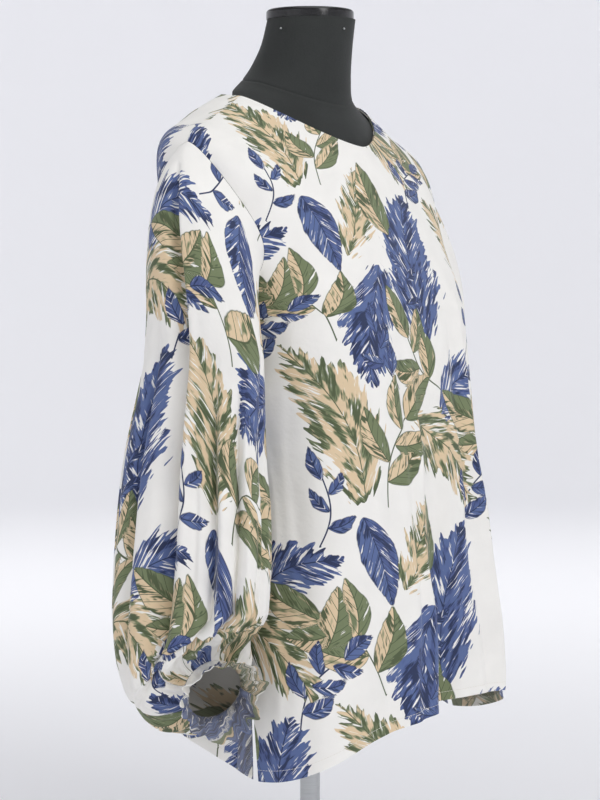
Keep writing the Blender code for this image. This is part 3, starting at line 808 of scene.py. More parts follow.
def cloth_object(name, outer, thickness, materials, places, node):
    """A thin shell of cloth: fine on its outer face and half as fine on its inner face."""
    rows, columns = outer.shape[:2]
    inner = (outer - grid_normals(outer) * thickness)[::2, ::2]
    numbers = np.arange(rows * columns).reshape(rows, columns)
    rear = np.arange(inner.shape[0] * inner.shape[1]).reshape(inner.shape[:2]) + rows * columns
    front_faces = grid_faces(numbers).tolist()
    rear_faces = grid_faces(rear)[:, ::-1].tolist()
    rims = bridge(numbers[0], rear[0], True) + bridge(numbers[-1], rear[-1], False)
    rims += bridge(numbers[:, 0], rear[:, 0], False) + bridge(numbers[:, -1], rear[:, -1], True)
    points = np.concatenate([outer.reshape(-1, 3), inner.reshape(-1, 3)])
    mesh = smooth_mesh(name, points, front_faces + rear_faces + rims, materials, 60)
    material_of_face = [0] * len(front_faces) + [1] * len(rear_faces) + [0] * len(rims)
    mesh.polygons.foreach_set("material_index", material_of_face)
    x, y = places
    fields = dict(print_fields(x, y), flat_mm=np.stack([x, y, 0 * x], axis=-1))
    for field, values in fields.items():
        both = np.concatenate([values.reshape(-1, 3), values[::2, ::2].reshape(-1, 3)])
        attribute = mesh.attributes.new(field, "FLOAT_VECTOR", "POINT")
        attribute.data.foreach_set("vector", both.astype(np.float32).ravel())
    mesh.update()
    return placed(name, mesh, node)


def panel_rows():
    """The levels of a panel's rows, closer together where the armhole's edge turns quickly."""
    armhole = [SHOULDER_POINT + 1 - math.cos(math.pi * row / ARMHOLE_ROWS) for row in range(ARMHOLE_ROWS + 1)]
    return np.array(list(np.linspace(NECKLINE, SHOULDER_POINT, SHOULDER_ROWS + 1)[:-1]) + armhole
                    + list(np.linspace(UNDERARM, HEM, LOWER_ROWS + 1)[1:]))


def panel_points(middle_turn, reach):
    """A panel's outer face as a grid, from the neckline to the hem."""
    levels = panel_rows()[:, None]
    across = np.linspace(-1, 1, PANEL_STEPS + 1)[None, :]
    turn = middle_turn + across * armhole_edge(levels, reach)
    turn, levels = np.broadcast_arrays(turn, levels)
    outer = cloth_surface(turn, levels)
    columns = outer.swapaxes(0, 1)
    height = outer[:, 0, 2] - outer[-1, 0, 2]
    open_part = np.clip(1 - height / SLIT_HEIGHT, 0, 1)[:, None]
    for edge, inside in ((0, 1), (-1, -2)):
        shift = unit(columns[edge + 3 * (inside - edge)] - columns[edge])
        for step in range(EDGE_COLUMNS):
            share = (1 - step / EDGE_COLUMNS) ** 2
            column = edge + step * (inside - edge)
            columns[column] += shift * (SEAM_GAP / 2 + SLIT_SPREAD * open_part) * share
    return outer


def threads(name, paths):
    """Sewing threads: square tubes along open paths of points in mm."""
    vertices = []
    faces = []
    for path in paths:
        ahead = unit(np.gradient(path, axis=0))
        helper = np.where(np.abs(ahead[:, 2:3]) > 0.9, np.array([[1.0, 0, 0]]), np.array([[0, 0, 1.0]]))
        aside = unit(np.cross(ahead, helper))
        above = np.cross(aside, ahead)
        start = len(vertices)
        for point, right, up in zip(path, aside * STITCH_RADIUS, above * STITCH_RADIUS):
            vertices += [point + right, point + up, point - right, point - up]
        end = len(vertices) - 4
        for low in range(start, end, 4):
            for corner in range(4):
                after = (corner + 1) % 4
                faces.append((low + corner, low + after, low + 4 + after, low + 4 + corner))
        faces += [(start + 3, start + 2, start + 1, start), (end, end + 1, end + 2, end + 3)]
    thread = finish_of(spun_polyester_thread, "spun_polyester_thread_ivory")
    return placed(name, smooth_mesh(name, np.array(vertices), faces, [thread]))


def evenly(path, spacing):
    """Points at an even spacing along a path."""
    steps = np.linalg.norm(np.diff(path, axis=0), axis=1)
    length = np.concatenate([[0], np.cumsum(steps)])
    places = np.arange(0, length[-1], spacing)
    return np.stack([np.interp(places, length, path[:, axis]) for axis in range(3)], axis=-1)


def stitches(path):
    """Short straight stitches along a path, a gap apart."""
    length = bpy.context.scene.blouse_cloth.stitch / MM
    points = evenly(path, (length + STITCH_GAP) / 4)
    return [points[start:start + 4] for start in range(0, len(points) - 4, 4)]


def overlock(near, far, pitch):
    """One thread that goes to and fro between two edges, as an overlock stitch does."""
    first, second = evenly(near, pitch), evenly(far, pitch)
    count = min(len(first), len(second))
    return np.stack([first[:count], second[:count]], axis=1).reshape(-1, 3)


def armhole_seam(turn):
    """The right armhole's seam and its outward direction at a sleeve's turn, 0 at the shoulder point."""
    share = (np.asarray(turn, dtype=float) / (2 * math.pi)) % 1
    in_front = share <= 0.5
    part = np.where(in_front, share, 1 - share) * 2
    level = SHOULDER_POINT + (UNDERARM - SHOULDER_POINT) / 2 * (1 - np.cos(math.pi * part))
    at = np.where(in_front, -armhole_edge(level, ARMHOLE_FRONT), armhole_edge(level, ARMHOLE_BACK) - math.pi)
    return cloth_surface(at, level), normals(body_surface, at, level)


def sleeve_head(turn, part):
    """The sleeve's head, from the armhole down to the first ring."""
    seam, outward = armhole_seam(turn)
    under = ((1 - np.cos(turn)) / 2)[..., None]
    top = 1 - under
    aside = np.array([-HEAD_OUTWARD, 0, 0]) * (1 - under ** 2)
    down = np.array([0, 0, -HEAD_DOWNWARD]) - np.array([0, 0, HEAD_DOWNWARD_UNDER]) * under ** 2
    leave = unit(outward * HEAD_OFF_SEAM * under ** 0.5 + aside + down)
    start = seam + unit(leave * top + outward * (1 - top)) * SLEEVE_SEAM_GAP
    stop = sleeve_ring_point(turn, 0)
    below = sleeve_ring_point(turn, 0.5)
    far = np.linalg.norm(stop - start, axis=-1, keepdims=True) * SLEEVE_CAP_PULL
    return hermite(start, stop, leave * far, unit(below - stop) * far, part[..., None])


def sleeve_pouch(turn, part):
    """The full lower end, which sags behind and below the gathered wrist."""
    last = len(SLEEVE_RINGS) - 1
    start = sleeve_ring_point(turn, last)
    above = sleeve_ring_point(turn, last - 0.5)
    stop, spoke = cuff_circle(turn, CUFF_RADIUS + SLEEVE_SEAM_GAP + 0 * turn, 0 * turn)
    rear = ((1 - np.sin(turn)) / 2)[..., None]
    drop = POUCH_DROP_FRONT + (POUCH_DROP_REAR - POUCH_DROP_FRONT) * rear
    tuck = POUCH_TUCK_FRONT + (POUCH_TUCK_REAR - POUCH_TUCK_FRONT) * rear
    arrive = unit(cuff_axes()[0] * POUCH_FORWARD - spoke * POUCH_INWARD) * tuck
    return hermite(start, stop, unit(start - above) * drop, arrive, part[..., None])


def sleeve_base(turn, along):
    """The plain sleeve: 0 to 1 is the head, 1 to 2 the tube and 2 to 3 the pouch."""
    turn, along = np.broadcast_arrays(np.asarray(turn, dtype=float), np.asarray(along, dtype=float))
    tube = sleeve_ring_point(turn, (along - 1) * (len(SLEEVE_RINGS) - 1))
    head = sleeve_head(turn, np.minimum(along, 1))
    pouch = sleeve_pouch(turn, np.clip(along - 2, 0, 1.02))
    along = along[..., None]
    return np.where(along < 1, head, np.where(along <= 2, tube, pouch))


def sleeve_relief(turn, along):
    """The main folds, the fine creases, the slung folds of the pouch and the gathers at the wrist."""
    relief = 0 * turn
    for fold in SLEEVE_FOLDS:
        part = np.clip((along - fold.start) / (fold.end - fold.start), 0, 1)
        middle = np.radians(fold.top_turn + (fold.low_turn - fold.top_turn) * part)
        away = turn_between(turn, middle)
        strength = np.sin(math.pi * part) ** 0.7
        relief = relief + fold.depth * strength * smooth_bump(away, math.radians(fold.width))
    fine = crease_relief(SLEEVE_CREASES, turn, along, 1)
    relief = relief + fine * bpy.context.scene.blouse_cloth.crease_depth
    for sling in SLINGS:
        away = turn_between(turn, math.radians(sling.turn))
        off = along - sling.along + SLING_BOW * (1 - np.cos(away))
        shape = smooth_bump(away, math.radians(sling.spread)) * smooth_bump(off, sling.width)
        relief = relief + sling.depth * shape
    near_wrist = np.clip(along - GATHER_START, 0, GATHER_RUN) / GATHER_RUN
    relief = relief + GATHER_HEIGHT * np.sin(GATHERS * turn) * near_wrist * (1 - near_wrist ** 6)
    close = np.clip(along - FINE_GATHER_START, 0, FINE_GATHER_RUN) / FINE_GATHER_RUN
    uneven = 1 + 0.5 * np.sin(3 * turn + 1.1) + 0.3 * np.sin(7 * turn + 0.4)
    gather = np.sin(FINE_GATHERS * turn + 1.4 * np.sin(2 * turn) + 2.5 * along) * uneven
    return relief + FINE_GATHER_HEIGHT * gather * close ** 1.3 * (1 - close ** 8)


def sleeve_points():
    """The right sleeve's outer face as a grid opened at its underarm, and each point's place along it."""
    turn = np.linspace(-math.pi, math.pi, SLEEVE_STEPS + 1)[None, :]
    along = np.linspace(0, 3, SLEEVE_ROWS + 1)[:, None]
    turn, along = np.broadcast_arrays(turn, along)
    outward = normals(sleeve_base, turn, along)
    return sleeve_base(turn, along) + outward * sleeve_relief(turn, along)[..., None], along


def cuff_points():
    """The right cuff's outer face as a grid: the casing, then the ruffle that flares and crumples."""
    turn = np.linspace(-math.pi, math.pi, CUFF_STEPS + 1)[None, :]
    part = np.linspace(0, 1, CUFF_ROWS + 1)[:, None]
    turn, part = np.broadcast_arrays(turn, part)
    forward = SEAM_GAP + (CASING_DEPTH + RUFFLE_DEPTH - SEAM_GAP) * part
    loose = np.clip((forward - CASING_DEPTH) / RUFFLE_DEPTH, 0, 1)
    flare = RUFFLE_FLARE * loose ** 0.9
    uneven = 1 + 0.5 * np.sin(2 * turn + 0.7) + 0.35 * np.sin(5 * turn)
    wave = CRUMPLE_WAVES * turn + CRUMPLE_SWAY * np.sin(3 * turn)
    crumple = CRUMPLE_HEIGHT * np.sin(wave + 0.8 * loose) * loose * uneven
    crumple = crumple + SAG_HEIGHT * np.sin(3 * turn + 0.6) * loose
    ripple = RIPPLE_HEIGHT * np.sin(RIPPLE_WAVES * turn + 3 * np.sin(2 * turn) + 3 * loose) * loose ** 0.7
    gather = CASING_GATHER_HEIGHT * np.sin(CASING_GATHERS * turn + np.sin(5 * turn))
    casing = gather * np.sin(math.pi * (1 - loose) / 2) * part ** 0.2
    lean = CRUMPLE_LEAN * np.sin(wave + 1.5) * loose + SLOW_LEAN * np.sin(2 * turn) * loose
    return cuff_circle(turn, CUFF_RADIUS + flare + crumple + ripple + casing, forward + lean)[0]


# How each layer is painted: its main and second colours, its dark strokes, how far its blades sweep
# forwards, how wide a blade is and how deep the gaps between blades cut in mm, how much ground shows in
# dry strokes, how far the second colour keeps to one side, and how far apart veins are in mm.
Brush = namedtuple("Brush", "layer main second dark sweep blade cut dry one_sided vein")
BRUSHES = [
    Brush("olive_frond", "peach", "olive", "dark_olive", 1.35, 10.0, 62, 0.60, 0.0, 0),
    Brush("blue_frond", "blue", "deep_blue", "navy", 1.45, 12.0, 56, 0.585, 0.0, 0),
    Brush("broad_leaf", "olive", "peach", "dark_olive", 1.30, 18.0, 6, 0.66, 0.12, 14),
    Brush("blue_leaf", "blue", "deep_blue", "navy", 1.30, 11.0, 6, 0.60, 0.10, 11),
]


def painted_layer(tree, brush, below):
    """One layer of leaves over what is below it, in dry brush strokes that sweep towards each leaf's tip."""
    colours = bpy.context.scene.blouse_colours
    main, second, dark = (tuple(getattr(colours, name)) for name in (brush.main, brush.second, brush.dark))
    field = add(tree, "Attribute", attribute_name=brush.layer)
    reach, place, side = add(tree, "SeparateXYZ", {0: field.outputs["Vector"]}).outputs
    off = add(tree, "Math", {0: side}, operation="ABSOLUTE")
    swept = add(tree, "Math", {0: off, 1: -brush.sweep, 2: place}, operation="MULTIPLY_ADD")
    across_blades = add(tree, "Math", {0: swept, 1: 1 / brush.blade}, operation="MULTIPLY")
    along_blades = add(tree, "Math", {0: off, 1: 0.03}, operation="MULTIPLY")
    half = add(tree, "Math", {0: side, 1: 0.04}, operation="MULTIPLY")
    lay = add(tree, "CombineXYZ", {0: across_blades, 1: along_blades, 2: half})
    blades = add(tree, "TexNoise", {"Vector": lay, "Scale": 1.0, "Detail": 1.5})
    gap = add(tree, "Math", {0: blades, 1: 0.60}, operation="SUBTRACT")
    edge = add(tree, "Math", {0: gap, 1: brush.cut, 2: reach}, operation="MULTIPLY_ADD")

    strokes_lay = add(tree, "VectorMath", {0: lay, 1: (2.4, 1.1, 1.0)}, operation="MULTIPLY")
    strokes = add(tree, "TexNoise", {"Vector": strokes_lay, "Scale": 1.0, "Detail": 2.5, "Roughness": 0.6})
    broad_lay = add(tree, "VectorMath", {0: lay, 1: (0.55, 1.5, 1.4)}, operation="MULTIPLY")
    broad = add(tree, "TexNoise", {"Vector": broad_lay, "Scale": 1.0, "Detail": 2.0})
    bias = add(tree, "Math", {0: side}, operation="SIGN")
    sided = add(tree, "Math", {0: bias, 1: brush.one_sided, 2: broad}, operation="MULTIPLY_ADD")
    both = add(tree, "Math", {0: strokes, 1: broad}, operation="ADD")
    dryness = add(tree, "Math", {0: strokes, 1: -1.0, 2: 1.0}, operation="MULTIPLY_ADD")

    # Each coat comes in as its value goes from one number to the other: the second colour, dark strokes,
    # the veins and dark rim of a veined leaf, its midrib, and the bare ground in dry strokes.
    coats = [(sided, 0.46, 0.54, second), (both, 1.06, 1.14, dark)]
    if brush.vein:
        wave = add(tree, "Math", {0: swept, 1: 2 * math.pi / brush.vein}, operation="MULTIPLY")
        rib = add(tree, "Math", {0: wave}, operation="SINE")
        coats += [(rib, 0.93, 0.99, dark), (edge, 1.3, 0.6, dark)]
    coats += [(off, 0.9, 0.4, dark), (dryness, brush.dry, brush.dry + 0.04, tuple(colours.ground))]
    paint = main
    for value, low, high, colour in coats:
        share = add(tree, "MapRange", {0: value, 1: low, 2: high})
        paint = add(tree, "Mix", {0: share, 6: paint, 7: colour}, data_type="RGBA")
    inside = add(tree, "MapRange", {0: edge, 1: -0.5, 2: 0.7})
    return add(tree, "Mix", {0: inside, 6: below, 7: paint}, data_type="RGBA")


def bare_material(name):
    """A new material of this name, and its tree, which has no nodes yet."""
    material = bpy.data.materials.new(name)
    material.use_nodes = True
    material.node_tree.nodes.clear()
    return material, material.node_tree


def printed_viscose(name, wrong_side_painted_shade):
    """Viscose, plain woven and printed with leaves, so it is matt with a faint soft sheen and fine threads.

    The print stops at the outer face and only shows through palely on the wrong side. The wrong side is also
    darkened a little, as painted shade, because it mostly lies in shadow inside the blouse.
    """
    colours = bpy.context.scene.blouse_colours
    ground, dark_olive, navy = (tuple(part) for part in (colours.ground, colours.dark_olive, colours.navy))
    material, tree = bare_material(name)
    flat = add(tree, "Attribute", attribute_name="flat_mm").outputs["Vector"]

    field = add(tree, "Attribute", attribute_name=STEM_LAYER)
    near, side, blue = add(tree, "SeparateXYZ", {0: field.outputs["Vector"]}).outputs
    off = add(tree, "Math", {0: side}, operation="ABSOLUTE")
    thin = add(tree, "MapRange", {0: off, 1: 1.15, 2: 0.75})
    close = add(tree, "MapRange", {0: near, 1: 0.5, 2: 0.6})
    line = add(tree, "Math", {0: thin, 1: close}, operation="MULTIPLY")
    stem_colour = add(tree, "Mix", {0: blue, 6: dark_olive, 7: navy}, data_type="RGBA")
    colour = add(tree, "Mix", {0: line, 6: ground, 7: stem_colour}, data_type="RGBA")
    for brush in BRUSHES:
        colour = painted_layer(tree, brush, colour)
    cloud = add(tree, "TexNoise", {"Vector": flat, "Scale": 0.02, "Detail": 2.0})
    shade = add(tree, "MapRange", {0: cloud, 1: 0.3, 2: 0.7, 3: 0.97, 4: 1.02})
    colour = add(tree, "VectorMath", {0: colour, "Scale": shade}, operation="SCALE")
    # The wrong side takes a pale mix of the print. It is then darkened by the multiply below, which is
    # painted shade.
    if wrong_side_painted_shade:
        colour = add(tree, "Mix", {0: 0.14, 6: colour, 7: ground}, data_type="RGBA")
        colour = add(tree, "VectorMath", {0: colour, 1: (0.88, 0.87, 0.84)}, operation="MULTIPLY")

    waves = []
    for place in add(tree, "SeparateXYZ", {0: flat}).outputs[:2]:
        phase = add(tree, "Math", {0: place, 1: 2 * math.pi / THREAD_SPACING}, operation="MULTIPLY")
        waves.append(add(tree, "Math", {0: phase}, operation="SINE"))
    weave = add(tree, "Math", {0: waves[0], 1: waves[1]}, operation="MULTIPLY")
    slub_lay = add(tree, "VectorMath", {0: flat, 1: (0.9, 0.05, 0.0)}, operation="MULTIPLY")
    slub = add(tree, "TexNoise", {"Vector": slub_lay, "Scale": 1.0, "Detail": 2.0})
    raised = add(tree, "Math", {0: slub, 1: 2.0, 2: weave}, operation="MULTIPLY_ADD")
    bump = add(tree, "Bump", {"Height": raised, "Strength": 0.22, "Distance": 0.0002})
    rumple = add(tree, "TexNoise", {"Vector": flat, "Scale": 0.045, "Detail": 3.0, "Roughness": 0.55})
    bump = add(tree, "Bump", {"Height": rumple, "Strength": 0.35, "Distance": 0.004, "Normal": bump})
    rough = add(tree, "MapRange", {0: slub, 1: 0.3, 2: 0.7, 3: 0.70, 4: 0.80})
    shader = add(tree, "BsdfPrincipled", {"Base Color": colour, "Roughness": rough, "Normal": bump,
                                          "Sheen Weight": 0.12, "Sheen Roughness": 0.5,
                                          "Specular IOR Level": 0.35})
    add(tree, "OutputMaterial", {"Surface": shader})
    return material


def spun_polyester_thread(name):
    """Spun polyester sewing thread, twisted, so it is soft and barely shiny, and paler on its twists."""
    material, tree = bare_material(name)
    place = add(tree, "TexCoord").outputs["Object"]
    # The twist is 0.5 mm long.
    twist = add(tree, "TexNoise", {"Vector": place, "Scale": 2000.0, "Detail": 1.0})
    ivory = linear("EFEBE0")
    colour = add(tree, "Mix", {0: twist, 6: toned(ivory, 0.82), 7: ivory}, data_type="RGBA")
    bump = add(tree, "Bump", {"Height": twist, "Strength": 0.3, "Distance": 0.0001})
    shader = add(tree, "BsdfPrincipled", {"Base Color": colour, "Roughness": 0.6, "Normal": bump,
                                          "Sheen Weight": 0.2})
    add(tree, "OutputMaterial", {"Surface": shader})
    return material


def knitted_jersey(name):
    """Charcoal polyester jersey, knitted, stretched over the form, so it is dull with fine ribs of loops."""
    material, tree = bare_material(name)
    place = add(tree, "TexCoord").outputs["Object"]
    # Loops are 0.7 mm in real jersey. They are drawn 1.6 mm, which is as fine as shows.
    loops = add(tree, "TexVoronoi", {"Vector": place, "Scale": 620.0, "Randomness": 0.35},
                feature="SMOOTH_F1")
    fluff = add(tree, "TexNoise", {"Vector": place, "Scale": 900.0, "Detail": 2.0})
    cloud = add(tree, "TexNoise", {"Vector": place, "Scale": 14.0, "Detail": 3.0})
    dark = tuple(bpy.context.scene.blouse_colours.jersey)
    fluffy = add(tree, "Math", {0: fluff, 1: cloud}, operation="MULTIPLY")
    share = add(tree, "MapRange", {0: fluffy, 1: 0.15, 2: 0.35})
    colour = add(tree, "Mix", {0: share, 6: dark, 7: toned(dark, 1.35)}, data_type="RGBA")
    height = add(tree, "Math", {0: loops, 1: fluff}, operation="ADD")
    bump = add(tree, "Bump", {"Height": height, "Strength": 0.5, "Distance": 0.0004})
    shader = add(tree, "BsdfPrincipled", {"Base Color": colour, "Roughness": 0.85, "Normal": bump,
                                          "Sheen Weight": 0.10, "Sheen Roughness": 0.4,
                                          "Specular IOR Level": 0.3})
    add(tree, "OutputMaterial", {"Surface": shader})
    return material


def moulded_abs(name):
    """Black ABS, moulded and glossy, so it mirrors the lights softly with a faint waviness."""
    material, tree = bare_material(name)
    place = add(tree, "TexCoord").outputs["Object"]
    dust = add(tree, "TexNoise", {"Vector": place, "Scale": 300.0, "Detail": 4.0})
    ripple = add(tree, "TexNoise", {"Vector": place, "Scale": 25.0, "Detail": 1.0})
    share = add(tree, "MapRange", {0: dust, 1: 0.62, 2: 0.8})
    colour = add(tree, "Mix", {0: share, 6: linear("0B0B0D"), 7: linear("1A1A1C")}, data_type="RGBA")
    rough = add(tree, "MapRange", {0: dust, 1: 0.3, 2: 0.7, 3: 0.12, 4: 0.22})
    bump = add(tree, "Bump", {"Height": ripple, "Strength": 0.1, "Distance": 0.001})
    shader = add(tree, "BsdfPrincipled", {"Base Color": colour, "Roughness": rough, "Normal": bump,
                                          "IOR": 1.53})
    add(tree, "OutputMaterial", {"Surface": shader})
    return material


def brushed_steel(name):
    """Stainless steel, brushed round, so its highlights stretch across fine scratches."""
    material, tree = bare_material(name)
    place = add(tree, "TexCoord").outputs["Object"]
    # Brush marks are 0.2 mm apart. They are drawn 1 mm apart, which is as fine as shows.
    lay = add(tree, "VectorMath", {0: place, 1: (20.0, 20.0, 1000.0)}, operation="MULTIPLY")
    marks = add(tree, "TexNoise", {"Vector": lay, "Scale": 1.0, "Detail": 3.0})
    rough = add(tree, "MapRange", {0: marks, 1: 0.3, 2: 0.7, 3: 0.26, 4: 0.42})
    colour = add(tree, "Mix", {0: marks, 6: linear("A9ABAC"), 7: linear("C6C8C9")}, data_type="RGBA")
    bump = add(tree, "Bump", {"Height": marks, "Strength": 0.15, "Distance": 0.0001})
    shader = add(tree, "BsdfPrincipled", {"Base Color": colour, "Metallic": 1.0, "Roughness": rough,
                                          "Normal": bump})
    add(tree, "OutputMaterial", {"Surface": shader})
    return material


def painted_wall(name):
    """Matt emulsion on a smooth studio floor and cove, so it is an even cool white."""
    material, tree = bare_material(name)
    place = add(tree, "TexCoord").outputs["Object"]
    cloud = add(tree, "TexNoise", {"Vector": place, "Scale": 0.8, "Detail": 2.0})
    base = tuple(bpy.context.scene.blouse_colours.wall)
    colour = add(tree, "Mix", {0: cloud, 6: toned(base, 0.985), 7: base}, data_type="RGBA")
    shader = add(tree, "BsdfPrincipled", {"Base Color": colour, "Roughness": 0.9, "Specular IOR Level": 0.1})
    add(tree, "OutputMaterial", {"Surface": shader})
    return material


def finish_of(maker, name, *settings):
    """The finish of this name, made once and shared."""
    return bpy.data.materials.get(name) or maker(name, *settings)


def cloth_faces():
    """The cloth's right side, and its wrong side, which also carries painted shade."""
    return (finish_of(printed_viscose, "printed_viscose_right_side", False),
            finish_of(printed_viscose, "printed_viscose_wrong_side", True))


def cut_from_print(name, places):
    """Places on a piece's flat cloth, moved to where the piece is cut from the print."""
    x, y = CUT_PLACES[name]
    return places[0] + x, places[1] + y


def form_surface(turn, level):
    """The dress form's outer face."""
    return ring_point(FORM_RINGS, turn, level)


def torso_points():
    """The dress form's outer face as rings, finer than its solid, with the groove of its neck seam."""
    levels = np.linspace(0, len(FORM_RINGS) - 1, FORM_ROWS * (len(FORM_RINGS) - 1) + 1)[:, None]
    turn = (np.arange(FORM_STEPS) * 2 * math.pi / FORM_STEPS)[None, :]
    turn, levels = np.broadcast_arrays(turn, levels)
    outward = normals(form_surface, turn, np.clip(levels, 0.02, len(FORM_RINGS) - 1.02))
    groove = smooth_bump((levels - NECK_SEAM_LEVEL) * NECK_LEVEL_SIZE, NECK_SEAM_WIDTH)
    return form_surface(turn, levels) - outward * groove[..., None]


def round_object(name, points, material, node=None):
    """A closed body from rings of points in mm, the first ring on top."""
    rows, columns = points.shape[:2]
    top = list(range(columns))
    bottom = [(rows - 1) * columns + number for number in reversed(top)]
    faces = ring_faces(points).tolist() + [top, bottom]
    return placed(name, smooth_mesh(name, points.reshape(-1, 3), faces, [material], 40), node)


def turned_points(profile):
    """Rings of points round the upright axis, from a profile of radius and height."""
    turn = np.arange(TURNED_STEPS) * 2 * math.pi / TURNED_STEPS
    return np.array([np.stack([radius * np.sin(turn), -radius * np.cos(turn), height + 0 * turn], axis=-1)
                     for radius, height in profile])


def rounded_corner(radius, height, corner, side, steps=8):
    """Points that round a corner of a profile: side is -1 at its top, and 1 where a floor turns up."""
    points = []
    for step in range(steps + 1):
        angle = QUARTER * step / steps
        inward = corner * (1 - math.sin(angle))
        along = corner * (1 - math.cos(angle))
        points.append((radius - inward, height + side * along))
    return points


def level_line(turn, level, off):
    """A line on the panels at a level, off their outer face by a distance."""
    outward = normals(body_surface, turn, level + 0 * turn)
    return cloth_surface(turn, level + 0 * turn) + outward * off


def flap_points(back):
    """The slit allowance of the back's right edge, lying open on the outside and wider towards the hem."""
    rows = back[FLAP_ROW:]
    outward = grid_normals(back)[FLAP_ROW:]
    share = np.linspace(0, 1, len(rows))[:, None] ** FLAP_WIDENING
    inward = np.linspace(1, 0, FLAP_COLUMNS + 1)[None, :] * share * FLAP_COLUMNS
    last = back.shape[1] - 1
    low = np.floor(last - inward).astype(int)
    part = (last - inward - low)[..., None]
    row = np.arange(len(rows))[:, None]
    high = np.minimum(low + 1, last)
    points = rows[row, low] * (1 - part) + rows[row, high] * part
    curl = FLAP_CURL * np.sin(math.pi * np.linspace(0, 1, FLAP_COLUMNS + 1))[None, :] * share
    return points + outward[row, low] * (FLAP_OFF + curl)[..., None]


def colour_setting(name, description, hexadecimal):
    """A colour that a user may change."""
    return FloatVectorProperty(name=name, description=description, subtype="COLOR", size=4,
                               default=linear(hexadecimal))


class ClothSettings(bpy.types.PropertyGroup):
    """Sizes of the cloth."""
    shell: FloatProperty(name="Cloth", description="Thickness of the cloth as it is shown",
                         default=SHELL * MM, unit="LENGTH")
    crease_depth: FloatProperty(name="Creases", description="Strength of the fine creases, 1 as worn",
                                default=1.0, min=0.0, max=2.0, subtype="FACTOR")
    repeat_width: FloatProperty(name="Repeat across", description="Half the print's repeat, across the cloth",
                                default=0.33, unit="LENGTH")
    repeat_height: FloatProperty(name="Repeat along", description="The print's repeat along the cloth",
                                 default=0.42, unit="LENGTH")
    stitch: FloatProperty(name="Stitch", description="Length of a hem stitch", default=0.0028, unit="LENGTH")


class ColourSettings(bpy.types.PropertyGroup):
    """Colours of the cloth, the form and the studio."""
    ground: colour_setting("Ground", "Unprinted cloth", "F3F1EC")
    blue: colour_setting("Blue", "Blue of the fronds", "596B99")
    deep_blue: colour_setting("Deep blue", "Shaded side of blue leaves", "4C5B8B")
    navy: colour_setting("Navy", "Dark strokes on blue", "2B3657")
    olive: colour_setting("Olive", "Olive of the leaves", "76815F")
    dark_olive: colour_setting("Dark olive", "Dark strokes on olive", "535E42")
    peach: colour_setting("Peach", "Peach of the leaves", "E0C9A6")
    jersey: colour_setting("Jersey", "Cover of the dress form", "2C2E2D")
    wall: colour_setting("Studio", "Floor and cove", "F5F5F8")


class StudioSettings(bpy.types.PropertyGroup):
    """The studio's lights and camera."""
    key_power: FloatProperty(name="Main light", description="Power of the large soft light", default=34,
                             unit="POWER")
    fill_power: FloatProperty(name="Fill light", description="Power of the weaker light", default=4,
                              unit="POWER")
    top_power: FloatProperty(name="Top light", description="Power of the light overhead", default=30.0,
                             unit="POWER")
    wash_power: FloatProperty(name="Wall light", description="Power of each light on the cove", default=52,
                              unit="POWER")
    world_power: FloatProperty(name="Room light", description="Strength of the light all round", default=0.42)
    azimuth: FloatProperty(name="Azimuth", description="Way round the form, below zero to the wearer's right",
                           default=math.radians(-55), subtype="ANGLE")
    distance: FloatProperty(name="Distance", description="From the form's axis to the camera", default=3.04,
                            unit="LENGTH")


class BLOUSE_OT_panels(bpy.types.Operator):
    """Front and back panels, with their folds, creases and darts"""
    bl_idname = "blouse.panels"
    bl_label = "Front and back"

    def execute(self, context):
        shell = context.scene.blouse_cloth.shell / MM
        for name, middle, reach in (("front", 0, ARMHOLE_FRONT), ("back", math.pi, ARMHOLE_BACK)):
            outer = panel_points(middle, reach)
            places = cut_from_print(name, flat_places(outer, PANEL_STEPS // 2, SHOULDER_ROWS + ARMHOLE_ROWS))
            made = cloth_object(name + "_panel", outer, shell, cloth_faces(), places, name)
        return {"FINISHED"}


class BLOUSE_OT_neck(bpy.types.Operator):
    """Facing turned inside the neckline"""
    bl_idname = "blouse.neck"
    bl_label = "Neck facing"

    def execute(self, context):
        shell = context.scene.blouse_cloth.shell / MM
        turn = np.linspace(-math.pi / 2, 1.5 * math.pi, FACING_STEPS + 1)[None, :]
        levels = np.linspace(NECKLINE, FACING_LEVEL, FACING_ROWS + 1)[:, None]
        turn, levels = np.broadcast_arrays(turn, levels)
        outer = body_surface(turn, levels) - normals(body_surface, turn, levels) * (CAD_WALL + SEAM_GAP)
        places = cut_from_print("neck_facing", flat_places(outer, FACING_STEPS // 2, 0))
        made = cloth_object("neck_facing_strip", outer, shell, cloth_faces()[::-1], places, "neck_facing")
        return {"FINISHED"}


class BLOUSE_OT_sleeves(bpy.types.Operator):
    """Bishop sleeves with their falling folds, sagging pouches and gathered wrists"""
    bl_idname = "blouse.sleeves"
    bl_label = "Sleeves"

    def execute(self, context):
        shell = context.scene.blouse_cloth.shell / MM
        right, along = sleeve_points()
        for name, outer in (("sleeve_right", right), ("sleeve_left", left_side(right, along)[:, ::-1])):
            across, down = flat_places(outer, SLEEVE_STEPS // 2, 0)
            # The pouch is gathered, so its cloth is as wide as the end of the tube.
            kept = np.minimum(np.arange(len(outer)), 2 * SLEEVE_ROWS // 3)
            places = cut_from_print(name, (across[kept], down))
            made = cloth_object(name + "_cloth", outer, shell, cloth_faces(), places, name)
        return {"FINISHED"}


class BLOUSE_OT_cuffs(bpy.types.Operator):
    """Elastic casings with their crumpled ruffles"""
    bl_idname = "blouse.cuffs"
    bl_label = "Cuffs"

    def execute(self, context):
        shell = context.scene.blouse_cloth.shell / MM
        right = cuff_points()
        for name, outer in (("cuff_right", right), ("cuff_left", left_side(right, 1)[:, ::-1])):
            places = cut_from_print(name, flat_places(outer, CUFF_STEPS // 2, 0))
            made = cloth_object(name + "_ruffle", outer, shell, cloth_faces(), places, name)
        return {"FINISHED"}


